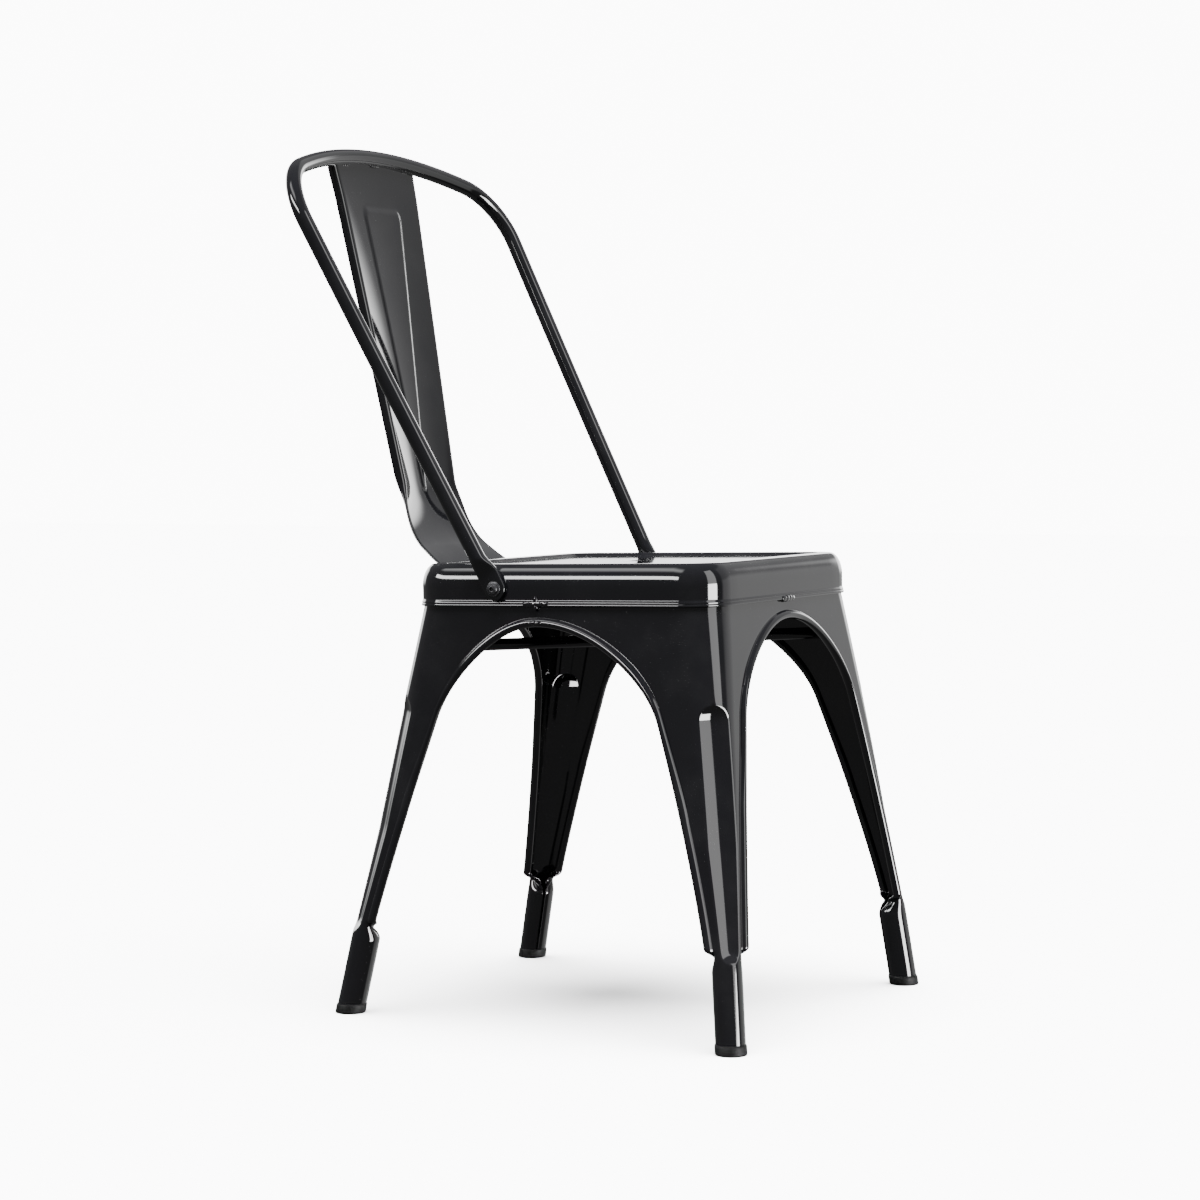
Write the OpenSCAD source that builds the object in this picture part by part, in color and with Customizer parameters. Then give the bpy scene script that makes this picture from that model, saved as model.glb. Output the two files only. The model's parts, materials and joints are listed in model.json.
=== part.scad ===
// Stacking chair pressed from sheet steel. A square seat pan sits on four pressed corner
// legs, a tube hoop is bolted to the sides of the seat, and a pressed splat joins the top
// of the hoop to the back of the seat. Two crossed rods brace the legs under the seat.
// The sitter faces -Y, so the sitter's right is -X. The floor is at Z = 0, and the origin
// is under the middle of the chair's overall box.

/* [Seat] */
// Width of the seat over its skirt
seat_w = 340; // [300:1:410]
// Depth of the seat over its skirt
seat_d = 336; // [300:1:410]
// Height of the seat's rim above the floor, at mid depth
seat_top = 455; // [400:1:560]
// Height of the skirt, from the rim to the lower edge
skirt_h = 41; // [34:1:60]
// Corner radius of the seat seen from above
seat_corner_r = 42; // [34:1:60]
// Radius of the roll between the rim and the skirt
seat_edge_r = 13; // [8:1:18]
// Drop of the seat's field below its rim
seat_dish = 3; // [1:0.5:5]
// Angle by which the front of the seat is higher
seat_tilt = 1; // [0:0.1:3]
// Diameter of the drain hole in the middle of the seat
drain_d = 10; // [6:1:20]

/* [Sheet] */
// Thickness of the pressed steel sheet
sheet_t = 1.2; // [0.9:0.1:2]
// Height of the folded hem along the skirt
hem_h = 5; // [3:0.5:7]
// How far the folded hem stands out from the skirt
hem_out = 1.4; // [0.8:0.1:2]
// Gap at the welds, such as between the skirt and the legs inside it
weld_gap = 0.3; // [0.1:0.1:0.6]

/* [Legs] */
// Half the distance between the front feet
front_foot_x = 212; // [190:1:240]
// Distance of the front feet in front of the seat's middle
front_foot_y = 208; // [185:1:240]
// Half the distance between the rear feet
rear_foot_x = 188; // [175:1:240]
// Distance of the rear feet behind the seat's middle
rear_foot_y = 230; // [185:1:260]
// Diameter of the round tube at the bottom of a leg
leg_tube_d = 29; // [24:1:34]
// Height at which a leg has closed into the round tube
leg_tube_top = 76; // [60:1:110]
// Height of the flange that a leg tucks inside the skirt
leg_flange_h = 8; // [5:1:10]
// Width of a front leg's side face at its widest
front_leg_side = 64; // [50:1:75]
// Width of a rear leg's side face at its widest
rear_leg_side = 54; // [45:1:75]
// Width of a leg's front or rear face at its widest
leg_face = 52; // [45:1:75]
// Distance behind the seat's middle at which front and rear legs meet
side_seam_y = 22; // [0:1:40]
// Width of the stacking groove down a leg's corner
groove_w = 32; // [20:1:36]
// How far the middle of the groove is hollowed below its edges
groove_hollow = 1.7; // [0.5:0.1:3]
// Distance of the groove's upper end below the skirt
groove_drop = 92; // [70:1:140]

/* [Arches] */
// Distance from the skirt's lower edge to the top of the arches
arch_drop = 20; // [16:1:40]
// Height over which an arch is rounded
arch_h = 92; // [60:1:130]
// Diameter of the rolled bead along the arches
bead_d = 9; // [6:1:11]

/* [Hoop] */
// Diameter of the hoop's tube
hoop_d = 16; // [14:1:20]
// Angle by which the hoop leans back
hoop_lean = 28; // [15:0.5:32]
// Length of the hoop along its lean, from bolts to top
hoop_len = 495; // [380:1:560]
// Angle by which the hoop's sides spread
hoop_flare = 4.5; // [0:0.5:6]
// Radius of the hoop's upper corners
hoop_corner_r = 64; // [45:1:100]
// Slope at the ends of the hoop's curved top
hoop_top_slope = 15.5; // [8:0.5:22]
// How far the middle of the hoop's top is bowed back
hoop_bow = 10; // [0:1:20]
// Distance of the hoop's bolts behind the seat's middle
hoop_bolt_y = 66; // [40:1:90]
// Height of the hoop's bolts above the skirt's lower edge
hoop_bolt_up = 17; // [15:1:24]
// Width of the flattened end of the hoop
paddle_w = 23; // [20:1:28]
// Thickness of the flattened end of the hoop
paddle_t = 5; // [4:0.5:7]

/* [Splat] */
// Width of the splat at the hoop
splat_top_w = 158; // [120:1:190]
// Width of the splat at its narrowest
splat_waist_w = 110; // [85:1:130]
// Width of the splat's foot on the rear of the skirt
splat_foot_w = 158; // [120:1:190]
// Height of the knee where the splat sweeps forward, above the seat
splat_knee_up = 75; // [50:1:110]
// Angle by which the splat leans back above the knee
splat_lean = 9.7; // [6:0.1:14]
// Radius of the sweep below the knee
splat_sweep_r = 95; // [70:1:115]
// Hollow of the splat at the knee
splat_hollow = 11; // [4:1:16]
// Depth of the flanges turned back along the splat's sides
splat_flange = 8; // [4:1:12]
// Half width of the pressed panel's upper end
panel_half_w = 37; // [25:1:45]
// Height of the pressed panel's step
panel_step = 1.5; // [0.5:0.5:3]

/* [Braces] */
// Diameter of the brace rods under the seat
brace_d = 12; // [8:1:14]
// Distance of the lower rod's middle below the skirt
brace_drop = 42; // [38:1:60]
// Length of a rubber pad along its rod
pad_l = 18; // [12:1:24]
// Width of a rubber pad
pad_w = 19; // [16:1:22]
// Height of a rubber pad
pad_h = 17; // [15:1:24]

/* [Feet] */
// Height of a foot cap below the leg's tube
cap_h = 10; // [6:1:16]
// How far a foot cap stands out round the tube
cap_lip = 1; // [0.5:0.5:3]
// Length of a foot cap's plug inside the tube
plug_l = 18; // [10:1:30]
// Gap round the plug inside the tube
plug_gap = 1; // [0.8:0.1:2]

/* [Fasteners] */
// Diameter of the hoop's bolts
bolt_d = 6; // [5:1:8]
// Clearance of the bolts in the holes of hoop and skirt, on the diameter
bolt_clear = 0.6; // [0.4:0.1:1]
// Clearance of the bolts in their nuts, on the diameter
thread_clear = 0.1; // [0.04:0.02:0.2]
// Outer diameter of the washers
washer_d = 15; // [13:1:18]
// Thickness of the washers
washer_t = 1.4; // [1:0.1:2]
// Width of the nuts across their flats
nut_af = 10; // [8:1:13]
// Thickness of the nuts
nut_t = 5; // [4:0.5:7]

/* [Hidden] */
$fn = 64;

hem_z = seat_top - skirt_h;
leg_top = hem_z + leg_flange_h;
half_x = seat_w / 2 - sheet_t - weld_gap;
half_y = seat_d / 2 - sheet_t - weld_gap;
tube_r = leg_tube_d / 2;
apex_z = hem_z - arch_drop;
bolt_z = hem_z + hoop_bolt_up;
lap_gap = 0.1;
cut = 1;

// A leg's own values: foot x, foot y, where its side seam is along y, widths of its side
// face and of its front or rear face, and the side of the chair it stands on along y.
FRONT = [front_foot_x, front_foot_y, -side_seam_y, front_leg_side, leg_face, -1];
REAR = [rear_foot_x, rear_foot_y, side_seam_y, rear_leg_side, leg_face, 1];

// General functions

function lerp(a, b, t) = a + (b - a) * t;
function limit(t) = max(0, min(1, t));
function ease(t) = limit(t) * limit(t) * (3 - 2 * limit(t));
function unit(v) = v / norm(v);
function quad(a, b, c, d) = [[a, b, c], [a, c, d]];
function joined(lists) = [for (l = lists) each l];
// n equal steps from a to b, without a itself
function steps(a, b, n) = [for (i = [1:n]) lerp(a, b, i / n)];
// quads between two equally long lists of vertex numbers
function ribbon(a, b) = joined([for (i = [0:len(a) - 2]) quad(a[i], a[i + 1], b[i + 1], b[i])]);

// The seat's tilt turns points about the x axis at the height of the hem. Below the hem the
// turn fades out, so that the feet stand level.
function tilted(p, side) =
    let (fade = limit((p[2] - cap_h) / (hem_z - cap_h)), y = side * p[1], z = p[2] - hem_z,
        ty = y * cos(seat_tilt) + z * sin(seat_tilt),
        tz = z * cos(seat_tilt) - y * sin(seat_tilt))
    [p[0], side * lerp(y, ty, fade), hem_z + lerp(z, tz, fade)];

// Leg: one sheet: a side face and a front or rear face that meet round the corner. It is
// built in the quadrant where x and y are positive and mirrored into place.

function corner_x(leg, z) = half_x + max(0, hem_z - z) / hem_z * (leg[0] + tube_r - half_x);
function corner_y(leg, z) = half_y + max(0, hem_z - z) / hem_z * (leg[1] + tube_r - half_y);
corner_r_top = seat_corner_r - sheet_t - weld_gap;
function corner_r(z) =
    lerp(tube_r, corner_r_top, limit((z - leg_tube_top) / (hem_z - leg_tube_top)));

// width of a face that is widest at the arches and as wide as the tube at the bottom
face_ref = 0.65 * (hem_z - leg_tube_top);
function face_w(widest, z) =
    leg_tube_d + (widest - leg_tube_d) * pow(max(0, z - leg_tube_top) / face_ref, 1.3);
function arch(z) =
    let (d = apex_z - z) d >= arch_h ? 1 : sqrt(max(0, 1 - pow(1 - d / arch_h, 2)));
// distance of a face's free edge from its seam; face 0 is the side and face 1 the front
function edge_s(leg, face, z) = arch(z) * (face == 0
    ? corner_y(leg, z) - leg[2] - face_w(leg[3], z)
    : corner_x(leg, z) - face_w(leg[4], z));
function bend_s(leg, face, z) = face == 0
    ? corner_y(leg, z) - corner_r(z) - leg[2]
    : corner_x(leg, z) - corner_r(z);

// rows down the leg: [height at the free edge, height at the bend, share of the top line]
arch_rows = 6;
arch_turn = 60;
shoulder_z = apex_z - arch_h * (1 - cos(arch_turn));
level_z = leg_top / 2;
groove_top = hem_z - groove_drop;
groove_end = leg_tube_top + 8;
groove_taper_z = 190;
function edge_z(z) = z - (leg_top - shoulder_z) * limit((z - level_z) / (leg_top - level_z));
bend_rows = concat(
    [leg_top, hem_z],
    steps(hem_z, groove_top, 3),
    steps(groove_top, groove_top - groove_w / 2, 4),
    steps(groove_top - groove_w / 2, leg_tube_top + 34, 6),
    steps(leg_tube_top + 34, leg_tube_top - 6, 8),
    [cap_h]);
rows = concat(
    [for (i = [0:arch_rows - 1])
        [apex_z - arch_h * (1 - cos(arch_turn * i / arch_rows)), leg_top, i / arch_rows]],
    [for (z = bend_rows) [edge_z(z), z, 1]]);

// The groove is a hollowed flat across the corner with round ends. half is its half width.
function round_end(d, r) = let (t = limit(d / r)) sqrt(t * (2 - t));
function groove_half(z) =
    let (half = groove_w / 2 * lerp(0.6, 1, limit((z - groove_end) / (groove_taper_z - groove_end))))
    min(half, 0.75 * corner_r(z)) * round_end(groove_top - z, half) * round_end(z - groove_end, half);
function groove_turn(z) = asin(groove_half(z) / corner_r(z));
function groove_in(z, turn) =
    let (r = corner_r(z), half = groove_half(z), side = r * sin(turn),
        flat = r * cos(groove_turn(z))
            - groove_hollow * 2 * half / groove_w * (1 - pow(side / max(half, 0.01), 2)))
    abs(side) < half ? max(0, r - flat / cos(turn)) : 0;

// the section closes into a tube round its own middle
function closing(z) = ease((leg_tube_top + 22 - z) / 24);
tube_slit = 8;
bend_share = 45 / (180 - tube_slit);
function closed(leg, p, share, depth) =
    let (z = p[2], m = closing(z), a = 45 + share * (180 - tube_slit), r = tube_r - depth,
        q = [corner_x(leg, z) - tube_r + r * cos(a), corner_y(leg, z) - tube_r + r * sin(a), z])
    tilted(lerp(p, q, m), leg[5]);

// a point of a face: share 0 is at the bead and 1 at the bend, out is along the normal
function face_pt(leg, face, s, z, out) = face == 0
    ? [corner_x(leg, z) + out, leg[2] + s, z]
    : [s, corner_y(leg, z) + out, z];
face_steps = 3;
// shares of a line from bead to bend: a line that ends in the flange has a point at the hem
function line_share(b, o, i) =
    let (hem = o[1] > hem_z ? (hem_z - b[1]) / (o[1] - b[1]) : (face_steps - 1) / face_steps)
    i == face_steps ? 1 : hem * i / (face_steps - 1);
bead_angles = [35, 75, 115, 155, 205, 245, 285, 325];
function face_line(leg, face, row) =
    let (turn = face == 0 ? -1 : 1,
        e = [edge_s(leg, face, row[0]), row[0]],
        o = [row[2] * bend_s(leg, face, row[1]), row[1]],
        b = e + unit(o - e) * bead_d,
        sheet = [for (depth = [0, sheet_t]) [for (i = [0:face_steps])
            let (j = line_share(b, o, i), p = lerp(b, o, j))
            closed(leg, face_pt(leg, face, p[0], p[1], -depth), turn * lerp(1, bend_share, j), depth)]],
        middle = (sheet[0][0] + sheet[1][0]) / 2,
        along = unit(sheet[0][0] - sheet[0][1]),
        out = unit(sheet[0][0] - sheet[1][0]),
        r = lerp(bead_d, sheet_t, closing(b[1])) / 2)
    concat(
        [for (i = [face_steps:-1:0]) sheet[0][i]],
        [for (a = bead_angles) middle + along * r * (1 - cos(a)) + out * r * sin(a)],
        sheet[1]);

// angles of the bend's points from its middle: they follow the sides of the groove
bend_steps = 12;
groove_steps = 4;
function bend_turn(z, i) =
    let (j = abs(i - bend_steps / 2), side = max(groove_turn(z), 10),
        turn = j <= groove_steps ? side * j / groove_steps
            : lerp(side, 45, (j - groove_steps) / (bend_steps / 2 - groove_steps)))
    sign(i - bend_steps / 2) * turn;
function bend_pt(leg, z, i, depth) =
    let (turn = bend_turn(z, i), a = 45 + turn, r = corner_r(z) - depth - groove_in(z, turn))
    closed(leg, [corner_x(leg, z) - corner_r(z) + r * cos(a),
        corner_y(leg, z) - corner_r(z) + r * sin(a), z], bend_share * turn / 45, depth);

function leg_ring(leg, row) = concat(
    face_line(leg, 0, row),
    [for (i = [1:bend_steps - 1]) bend_pt(leg, row[1], i, sheet_t)],
    let (l = face_line(leg, 1, row)) [for (i = [len(l) - 1:-1:0]) l[i]],
    [for (i = [bend_steps - 1:-1:1]) bend_pt(leg, row[1], i, 0)]);

face_n = 2 * (face_steps + 1) + len(bead_angles);
ring_n = 2 * face_n + 2 * (bend_steps - 1);
front_0 = face_n + bend_steps - 1;
outer_bend = concat([0], [for (i = [ring_n - 1:-1:front_0 + face_n - 1]) i]);
inner_bend = [for (i = [face_n - 1:front_0]) i];
half_n = face_n / 2;
function shifted(l, k) = [for (i = l) i + k * ring_n];
// the diagonals inside the sheet run the same way as those outside it
function strip_face(k, i, j) =
    let (a = k * ring_n + i, b = a + ring_n, d = k * ring_n + j, c = d + ring_n)
    i >= half_n && i < front_0 + half_n ? quad(b, c, d, a) : quad(a, b, c, d);
function leg_faces() = joined([
    for (k = [0:len(rows) - 2], i = [0:ring_n - 1])
        let (j = (i + 1) % ring_n, side = i < face_n - 1,
            front = i >= front_0 && i < front_0 + face_n - 1)
        if (side || front || k >= arch_rows) strip_face(k, i, j),
    for (k = [0:arch_rows - 1]) each [
        strip_face(k, face_n - 1, 0),
        strip_face(k, front_0 + face_n - 1, front_0)],
    ribbon(shifted(inner_bend, arch_rows), shifted(outer_bend, arch_rows)),
    for (first = [0, front_0])
        ribbon([for (i = [0:half_n - 1]) first + i],
            [for (i = [0:half_n - 1]) first + face_n - 1 - i]),
    let (k = len(rows) - 1) joined([
        for (first = [0, front_0])
            ribbon(shifted([for (i = [0:half_n - 1]) first + face_n - 1 - i], k),
                shifted([for (i = [0:half_n - 1]) first + i], k)),
        ribbon(shifted(outer_bend, k), shifted(inner_bend, k))])]);

module leg(own) {
    color([0.03, 0.03, 0.035])
        polyhedron(points = joined([for (r = rows) leg_ring(own, r)]),
            faces = leg_faces(), convexity = 8);
}

// the middle of the leg's tube at the floor, and the slope of the leg away from upright
function foot_slope(leg) =
    [(half_x - leg[0] - tube_r) / hem_z, (half_y - leg[1] - tube_r) / hem_z];
cap_r = tube_r + cap_lip;
// the plug clears the flats between the points of the tube's inner face
plug_r = (tube_r - sheet_t) * cos((1 - bend_share) * (180 - tube_slit) / face_steps / 2)
    - plug_gap;

// a rubber cap: a lip under the end of the tube and a plug inside it
module foot_cap(own) {
    slope = foot_slope(own);
    lean_x = -asin(slope[1] / norm([slope[0], slope[1], 1]));
    lean_y = atan(slope[0]);
    color([0.12, 0.12, 0.12])
        union() {
            slice(0, cap_h) along_leg(own, lean_x, lean_y)
                cylinder(h = cap_h * 4, r = cap_r, center = true);
            slice(cap_h, cap_h + plug_l) along_leg(own, lean_x, lean_y)
                cylinder(h = (cap_h + plug_l) * 4, r = plug_r, center = true);
        }
}
module along_leg(own, lean_x, lean_y) {
    translate([own[0], own[1], 0]) rotate([lean_x, lean_y, 0]) children();
}
module slice(z0, z1) {
    wide = 2 * (seat_w + seat_d);
    intersection() {
        children();
        translate([-wide / 2, -wide / 2, z0]) cube([wide, wide, z1 - z0]);
    }
}

// Seat pan: the same edge profile runs along the four sides and round the four corners.

field_z = seat_top - seat_dish;
rim_out = seat_corner_r - seat_edge_r;
rim_w = 10;
dish_run = 5;
edge_steps = 8;
function roll(r) = [for (i = [0:edge_steps]) let (a = 90 - 90 * i / edge_steps)
    [rim_out + r * cos(a), seat_top - seat_edge_r + r * sin(a)]];
edge_profile = concat(
    [[0, field_z - sheet_t], [0, field_z], [rim_out - rim_w - dish_run, field_z],
        [rim_out - rim_w, seat_top]],
    roll(seat_edge_r),
    [[seat_corner_r, hem_z + hem_h], [seat_corner_r + hem_out, hem_z + hem_h - hem_out],
        [seat_corner_r + hem_out, hem_z + hem_out], [seat_corner_r, hem_z],
        [seat_corner_r - sheet_t, hem_z]],
    let (l = roll(seat_edge_r - sheet_t)) [for (i = [edge_steps:-1:0]) l[i]],
    [[rim_out - rim_w, seat_top - sheet_t],
        [rim_out - rim_w - dish_run, field_z - sheet_t]]);

module seat_side(length) {
    rotate([90, 0, 0]) linear_extrude(height = length, center = true) polygon(edge_profile);
}
module seat_level() {
    run_x = seat_w - 2 * seat_corner_r;
    run_y = seat_d - 2 * seat_corner_r;
    translate([-run_x / 2, -run_y / 2, field_z - sheet_t]) cube([run_x, run_y, sheet_t]);
    for (turn = [0, 180]) {
        rotate([0, 0, turn]) translate([run_x / 2, 0, 0]) seat_side(run_y);
        rotate([0, 0, turn + 90]) translate([run_y / 2, 0, 0]) seat_side(run_x);
    }
    for (sx = [0, 1], sy = [0, 1])
        mirror([sx, 0, 0]) mirror([0, sy, 0]) translate([run_x / 2, run_y / 2, 0])
            rotate_extrude(angle = 90) polygon(edge_profile);
}
module seat_pan() {
    color([0.03, 0.03, 0.035])
        difference() {
            translate([0, 0, hem_z]) rotate([-seat_tilt, 0, 0]) translate([0, 0, -hem_z])
                difference() {
                    seat_level();
                    translate([0, 0, field_z - sheet_t - cut])
                        cylinder(h = sheet_t + 2 * cut, d = drain_d);
                }
            bolt_axis() cylinder(h = seat_w + 2 * cut, d = bolt_d + bolt_clear, center = true);
        }
}

// Hoop: it lies in a leaning plane: x across, s up the lean from the bolts.

bolt_at = tilted([0, hoop_bolt_y, bolt_z], 1);
module bolt_axis() {
    translate([0, bolt_at[1], bolt_at[2]]) rotate([0, 90, 0]) children();
}
hoop_r = hoop_d / 2;
paddle_gap = 0.05;
skin_x = seat_w / 2 + paddle_gap;
round_s = 34;
side_x0 = skin_x + hoop_r;
top_share = (1 - cos(hoop_top_slope)) / sin(hoop_top_slope);
side_s1 = (hoop_len - hoop_corner_r * (sin(hoop_flare) + cos(hoop_top_slope))
    - (side_x0 - round_s * tan(hoop_flare)
        - hoop_corner_r * (cos(hoop_flare) - sin(hoop_top_slope))) * top_share)
    / (1 + tan(hoop_flare) * top_share);
side_x1 = side_x0 + (side_s1 - round_s) * tan(hoop_flare);
corner_mid = [side_x1 - hoop_corner_r * cos(hoop_flare),
    side_s1 + hoop_corner_r * sin(hoop_flare)];
top_r = (corner_mid[0] + hoop_corner_r * sin(hoop_top_slope)) / sin(hoop_top_slope);
function hoop_bend(x, s) = hoop_bow * s / hoop_len * (1 - pow(x / side_x1, 2));
function hoop_pos(x, s) = [x, bolt_at[1] + s * sin(hoop_lean) + hoop_bend(x, s),
    bolt_at[2] + s * cos(hoop_lean)];

// stations up one side: [x, s, heading, half thickness, half width, squareness]
paddle_r = paddle_w / 2;
flat_x = skin_x + paddle_t / 2;
flat_s = 14;
tip_turns = [75, 60, 42, 22, 0];
hoop_half = concat(
    [for (a = tip_turns)
        [flat_x, -paddle_r * sin(a), 0, paddle_t / 2, paddle_r * cos(a), 5]],
    [[flat_x, flat_s, 0, paddle_t / 2, paddle_r, 5]],
    [for (t = [0.35, 0.7]) [lerp(flat_x, side_x0, ease(t)), lerp(flat_s, round_s, t), 0,
        lerp(paddle_t / 2, hoop_r, t), lerp(paddle_r, hoop_r, t), lerp(5, 2, t)]],
    [for (t = [0, 0.12, 0.35, 0.65, 1]) [lerp(side_x0, side_x1, t), lerp(round_s, side_s1, t),
        t == 0 ? 0 : -hoop_flare, hoop_r, hoop_r, 2]],
    [for (h = steps(-hoop_flare, 90 - hoop_top_slope, 10))
        [corner_mid[0] + hoop_corner_r * cos(h), corner_mid[1] + hoop_corner_r * sin(h),
            h, hoop_r, hoop_r, 2]],
    [for (h = steps(90 - hoop_top_slope, 90, 5))
        [top_r * cos(h), hoop_len - top_r * (1 - sin(h)), h, hoop_r, hoop_r, 2]]);
hoop_path = concat(hoop_half, [for (i = [len(hoop_half) - 2:-1:0]) let (q = hoop_half[i])
    [-q[0], q[1], 180 - q[2], q[3], q[4], q[5]]]);

hoop_sides = 16;
function bulge(v, square) = sign(v) * pow(abs(v), 2 / square);
function hoop_ring(q) = [for (i = [0:hoop_sides - 1])
    let (a = 360 * i / hoop_sides, n = q[3] * bulge(sin(a), q[5]), w = q[4] * bulge(cos(a), q[5]))
    hoop_pos(q[0], q[1]) + [n * cos(q[2]), n * sin(q[2]) * sin(hoop_lean) + w * cos(hoop_lean),
        n * sin(q[2]) * cos(hoop_lean) - w * sin(hoop_lean)]];
hoop_points = joined([for (q = hoop_path) hoop_ring(q)]);
// faces of a tube of rings of n points, closed at both ends
function tube_faces(count, n) = concat(
    joined([for (k = [0:count - 2], i = [0:n - 1]) let (j = (i + 1) % n)
        quad(k * n + i, k * n + j, (k + 1) * n + j, (k + 1) * n + i)]),
    [for (i = [1:n - 2]) [0, i + 1, i]],
    let (z = (count - 1) * n) [for (i = [1:n - 2]) [z, z + i, z + i + 1]]);

module back_hoop() {
    color([0.03, 0.03, 0.035])
        difference() {
            polyhedron(points = hoop_points, faces = tube_faces(len(hoop_path), hoop_sides),
                convexity = 6);
            bolt_axis() cylinder(h = seat_w + 4 * hoop_d, d = bolt_d + bolt_clear, center = true);
        }
}

// Splat: it follows a path in the middle plane, from the hoop's underside down to a lap on
// the rear of the skirt. Each station: [y, z, angle of the way down below the horizontal].

hoop_mid = hoop_pos(0, hoop_len);
splat_drop = hoop_r + weld_gap;
splat_start = [hoop_mid[1] - splat_drop * sin(splat_lean), hoop_mid[2] - splat_drop * cos(splat_lean)];
knee_z = seat_top + splat_knee_up;
knee = [splat_start[0] - (splat_start[1] - knee_z) * tan(splat_lean), knee_z];
lap_y = seat_d / 2 + lap_gap;
lap_low = hem_z + hem_h + 1.5;
lap_high = seat_top - seat_edge_r - 10;
lap_r = 10;
function sweep_at(h) = [knee[0] - splat_sweep_r * (cos(splat_lean) - sin(h)),
    knee[1] - splat_sweep_r * (cos(h) - sin(splat_lean))];
function lap_at(h) = [lap_y + lap_r * (1 - sin(h)), lap_high + lap_r * cos(h)];
function sweep_angle(h, tries) = tries == 0 ? h
    : let (v = sweep_at(h) - lap_at(h)) sweep_angle(atan2(v[1], v[0]), tries - 1);
low_angle = sweep_angle(35, 6);
splat_path = concat(
    [for (t = [0, 0.03, 0.08, 0.14, 0.22, 0.32, 0.42, 0.54, 0.66, 0.77, 0.88, 1])
        let (p = lerp(splat_start, knee, t)) [p[0], p[1], 90 - splat_lean]],
    [for (h = steps(90 - splat_lean, low_angle, 6))
        let (p = sweep_at(h)) [p[0], p[1], h]],
    let (p = lerp(sweep_at(low_angle), lap_at(low_angle), 0.5)) [[p[0], p[1], low_angle]],
    [for (t = [0:3]) let (h = lerp(low_angle, 90, t / 3), p = lap_at(h)) [p[0], p[1], h]],
    [[lap_y, lap_low, 90]]);
splat_above = splat_start[1] - knee_z;
splat_below = knee_z - lap_low;
function splat_w(z) = z > knee_z
    ? lerp(splat_waist_w, splat_top_w, (z - knee_z) / splat_above)
    : lerp(splat_waist_w, splat_foot_w, pow((knee_z - z) / splat_below, 1.5));
function hollow(z) = z > knee_z
    ? lerp(splat_hollow, hoop_bow / 4, (z - knee_z) / splat_above)
    : splat_hollow * (1 - ease((knee_z - z) / (knee_z - seat_top - 4)));
function flange(z) = lerp(sheet_t, splat_flange, ease((z - knee_z + 30) / 40));
panel_top_z = splat_start[1] - 44;
panel_tip_z = knee_z - 8;
function panel(x, z) =
    let (half = lerp(4, panel_half_w, (z - panel_tip_z) / (panel_top_z - panel_tip_z)),
        ends = min(ease((panel_top_z - z) / 6), ease((z - panel_tip_z) / 6)))
    panel_step * ends * ease((half - abs(x)) / 5 + 0.5);

splat_cols = 14;
// a point of the splat: x across, n along the normal that faces the sitter
function splat_pt(q, x, n) =
    let (sag = x * x / (2 * top_r) * ease((q[1] - splat_start[1] + 40) / 40),
        p = [x, q[0] - n * sin(q[2]), q[1] + n * cos(q[2]) - sag])
    lerp(tilted(p, 1), p, ease((p[2] - seat_top) / 50));
function splat_n(q, x) = hollow(q[1]) * pow(2 * x / splat_w(q[1]), 2) + panel(x, q[1]);
function splat_ring(q) =
    let (half = splat_w(q[1]) / 2, inner = half - sheet_t, back = hollow(q[1]) - flange(q[1]))
    concat(
        [for (i = [0:splat_cols]) let (x = lerp(-half, half, i / splat_cols))
            splat_pt(q, x, splat_n(q, x))],
        [splat_pt(q, half, back - sheet_t), splat_pt(q, inner, back - sheet_t)],
        [for (i = [splat_cols:-1:0]) let (x = lerp(-inner, inner, i / splat_cols))
            splat_pt(q, x, splat_n(q, x) - sheet_t)],
        [splat_pt(q, -inner, back - sheet_t), splat_pt(q, -half, back - sheet_t)]);
splat_ring_n = 2 * (splat_cols + 1) + 4;
function splat_faces() =
    let (n = splat_ring_n, last = (len(splat_path) - 1) * n, c = splat_cols,
        outer = [for (i = [n - 1, each [0:c + 1]]) i],
        inner = [for (i = [n - 2:-1:c + 2]) i])
    concat(
        joined([for (k = [0:len(splat_path) - 2], i = [0:n - 1]) let (j = (i + 1) % n)
            quad(k * n + i, k * n + j, (k + 1) * n + j, (k + 1) * n + i)]),
        ribbon(inner, outer),
        ribbon([for (i = outer) i + last], [for (i = inner) i + last]));

module back_splat() {
    color([0.03, 0.03, 0.035])
        polyhedron(points = joined([for (q = splat_path) splat_ring(q)]),
            faces = splat_faces(), convexity = 6);
}

// Braces: each rod runs from the inside corner of a front leg to that of the opposite rear leg, and
// the upper rod crosses on top of the lower one.

brace_z = [hem_z - brace_drop, hem_z - brace_drop + brace_d + lap_gap];
function brace_end(leg, z) =
    let (top = z + brace_d / 2, r = corner_r(top) - sheet_t,
        reach = sqrt(r * r - brace_d * brace_d / 4) - weld_gap)
    tilted([corner_x(leg, top) - corner_r(top) + reach * cos(45),
        corner_y(leg, top) - corner_r(top) + reach * sin(45), z], leg[5]);
// ends of a rod in the chair's own frame: front leg first
function rod_ends(sx, z) =
    let (f = brace_end(FRONT, z), r = brace_end(REAR, z))
    [[sx * f[0], -f[1], f[2]], [-sx * r[0], r[1], r[2]]];

module between(a, b) {
    v = b - a;
    translate(a) rotate([0, 0, atan2(v[1], v[0])])
        rotate([0, 90 - atan2(v[2], norm([v[0], v[1]])), 0]) children();
}
module brace(sx, z) {
    ends = rod_ends(sx, z);
    color([0.03, 0.03, 0.035])
        between(ends[0], ends[1]) cylinder(h = norm(ends[1] - ends[0]), d = brace_d);
}
pad_inset = 5;
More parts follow.
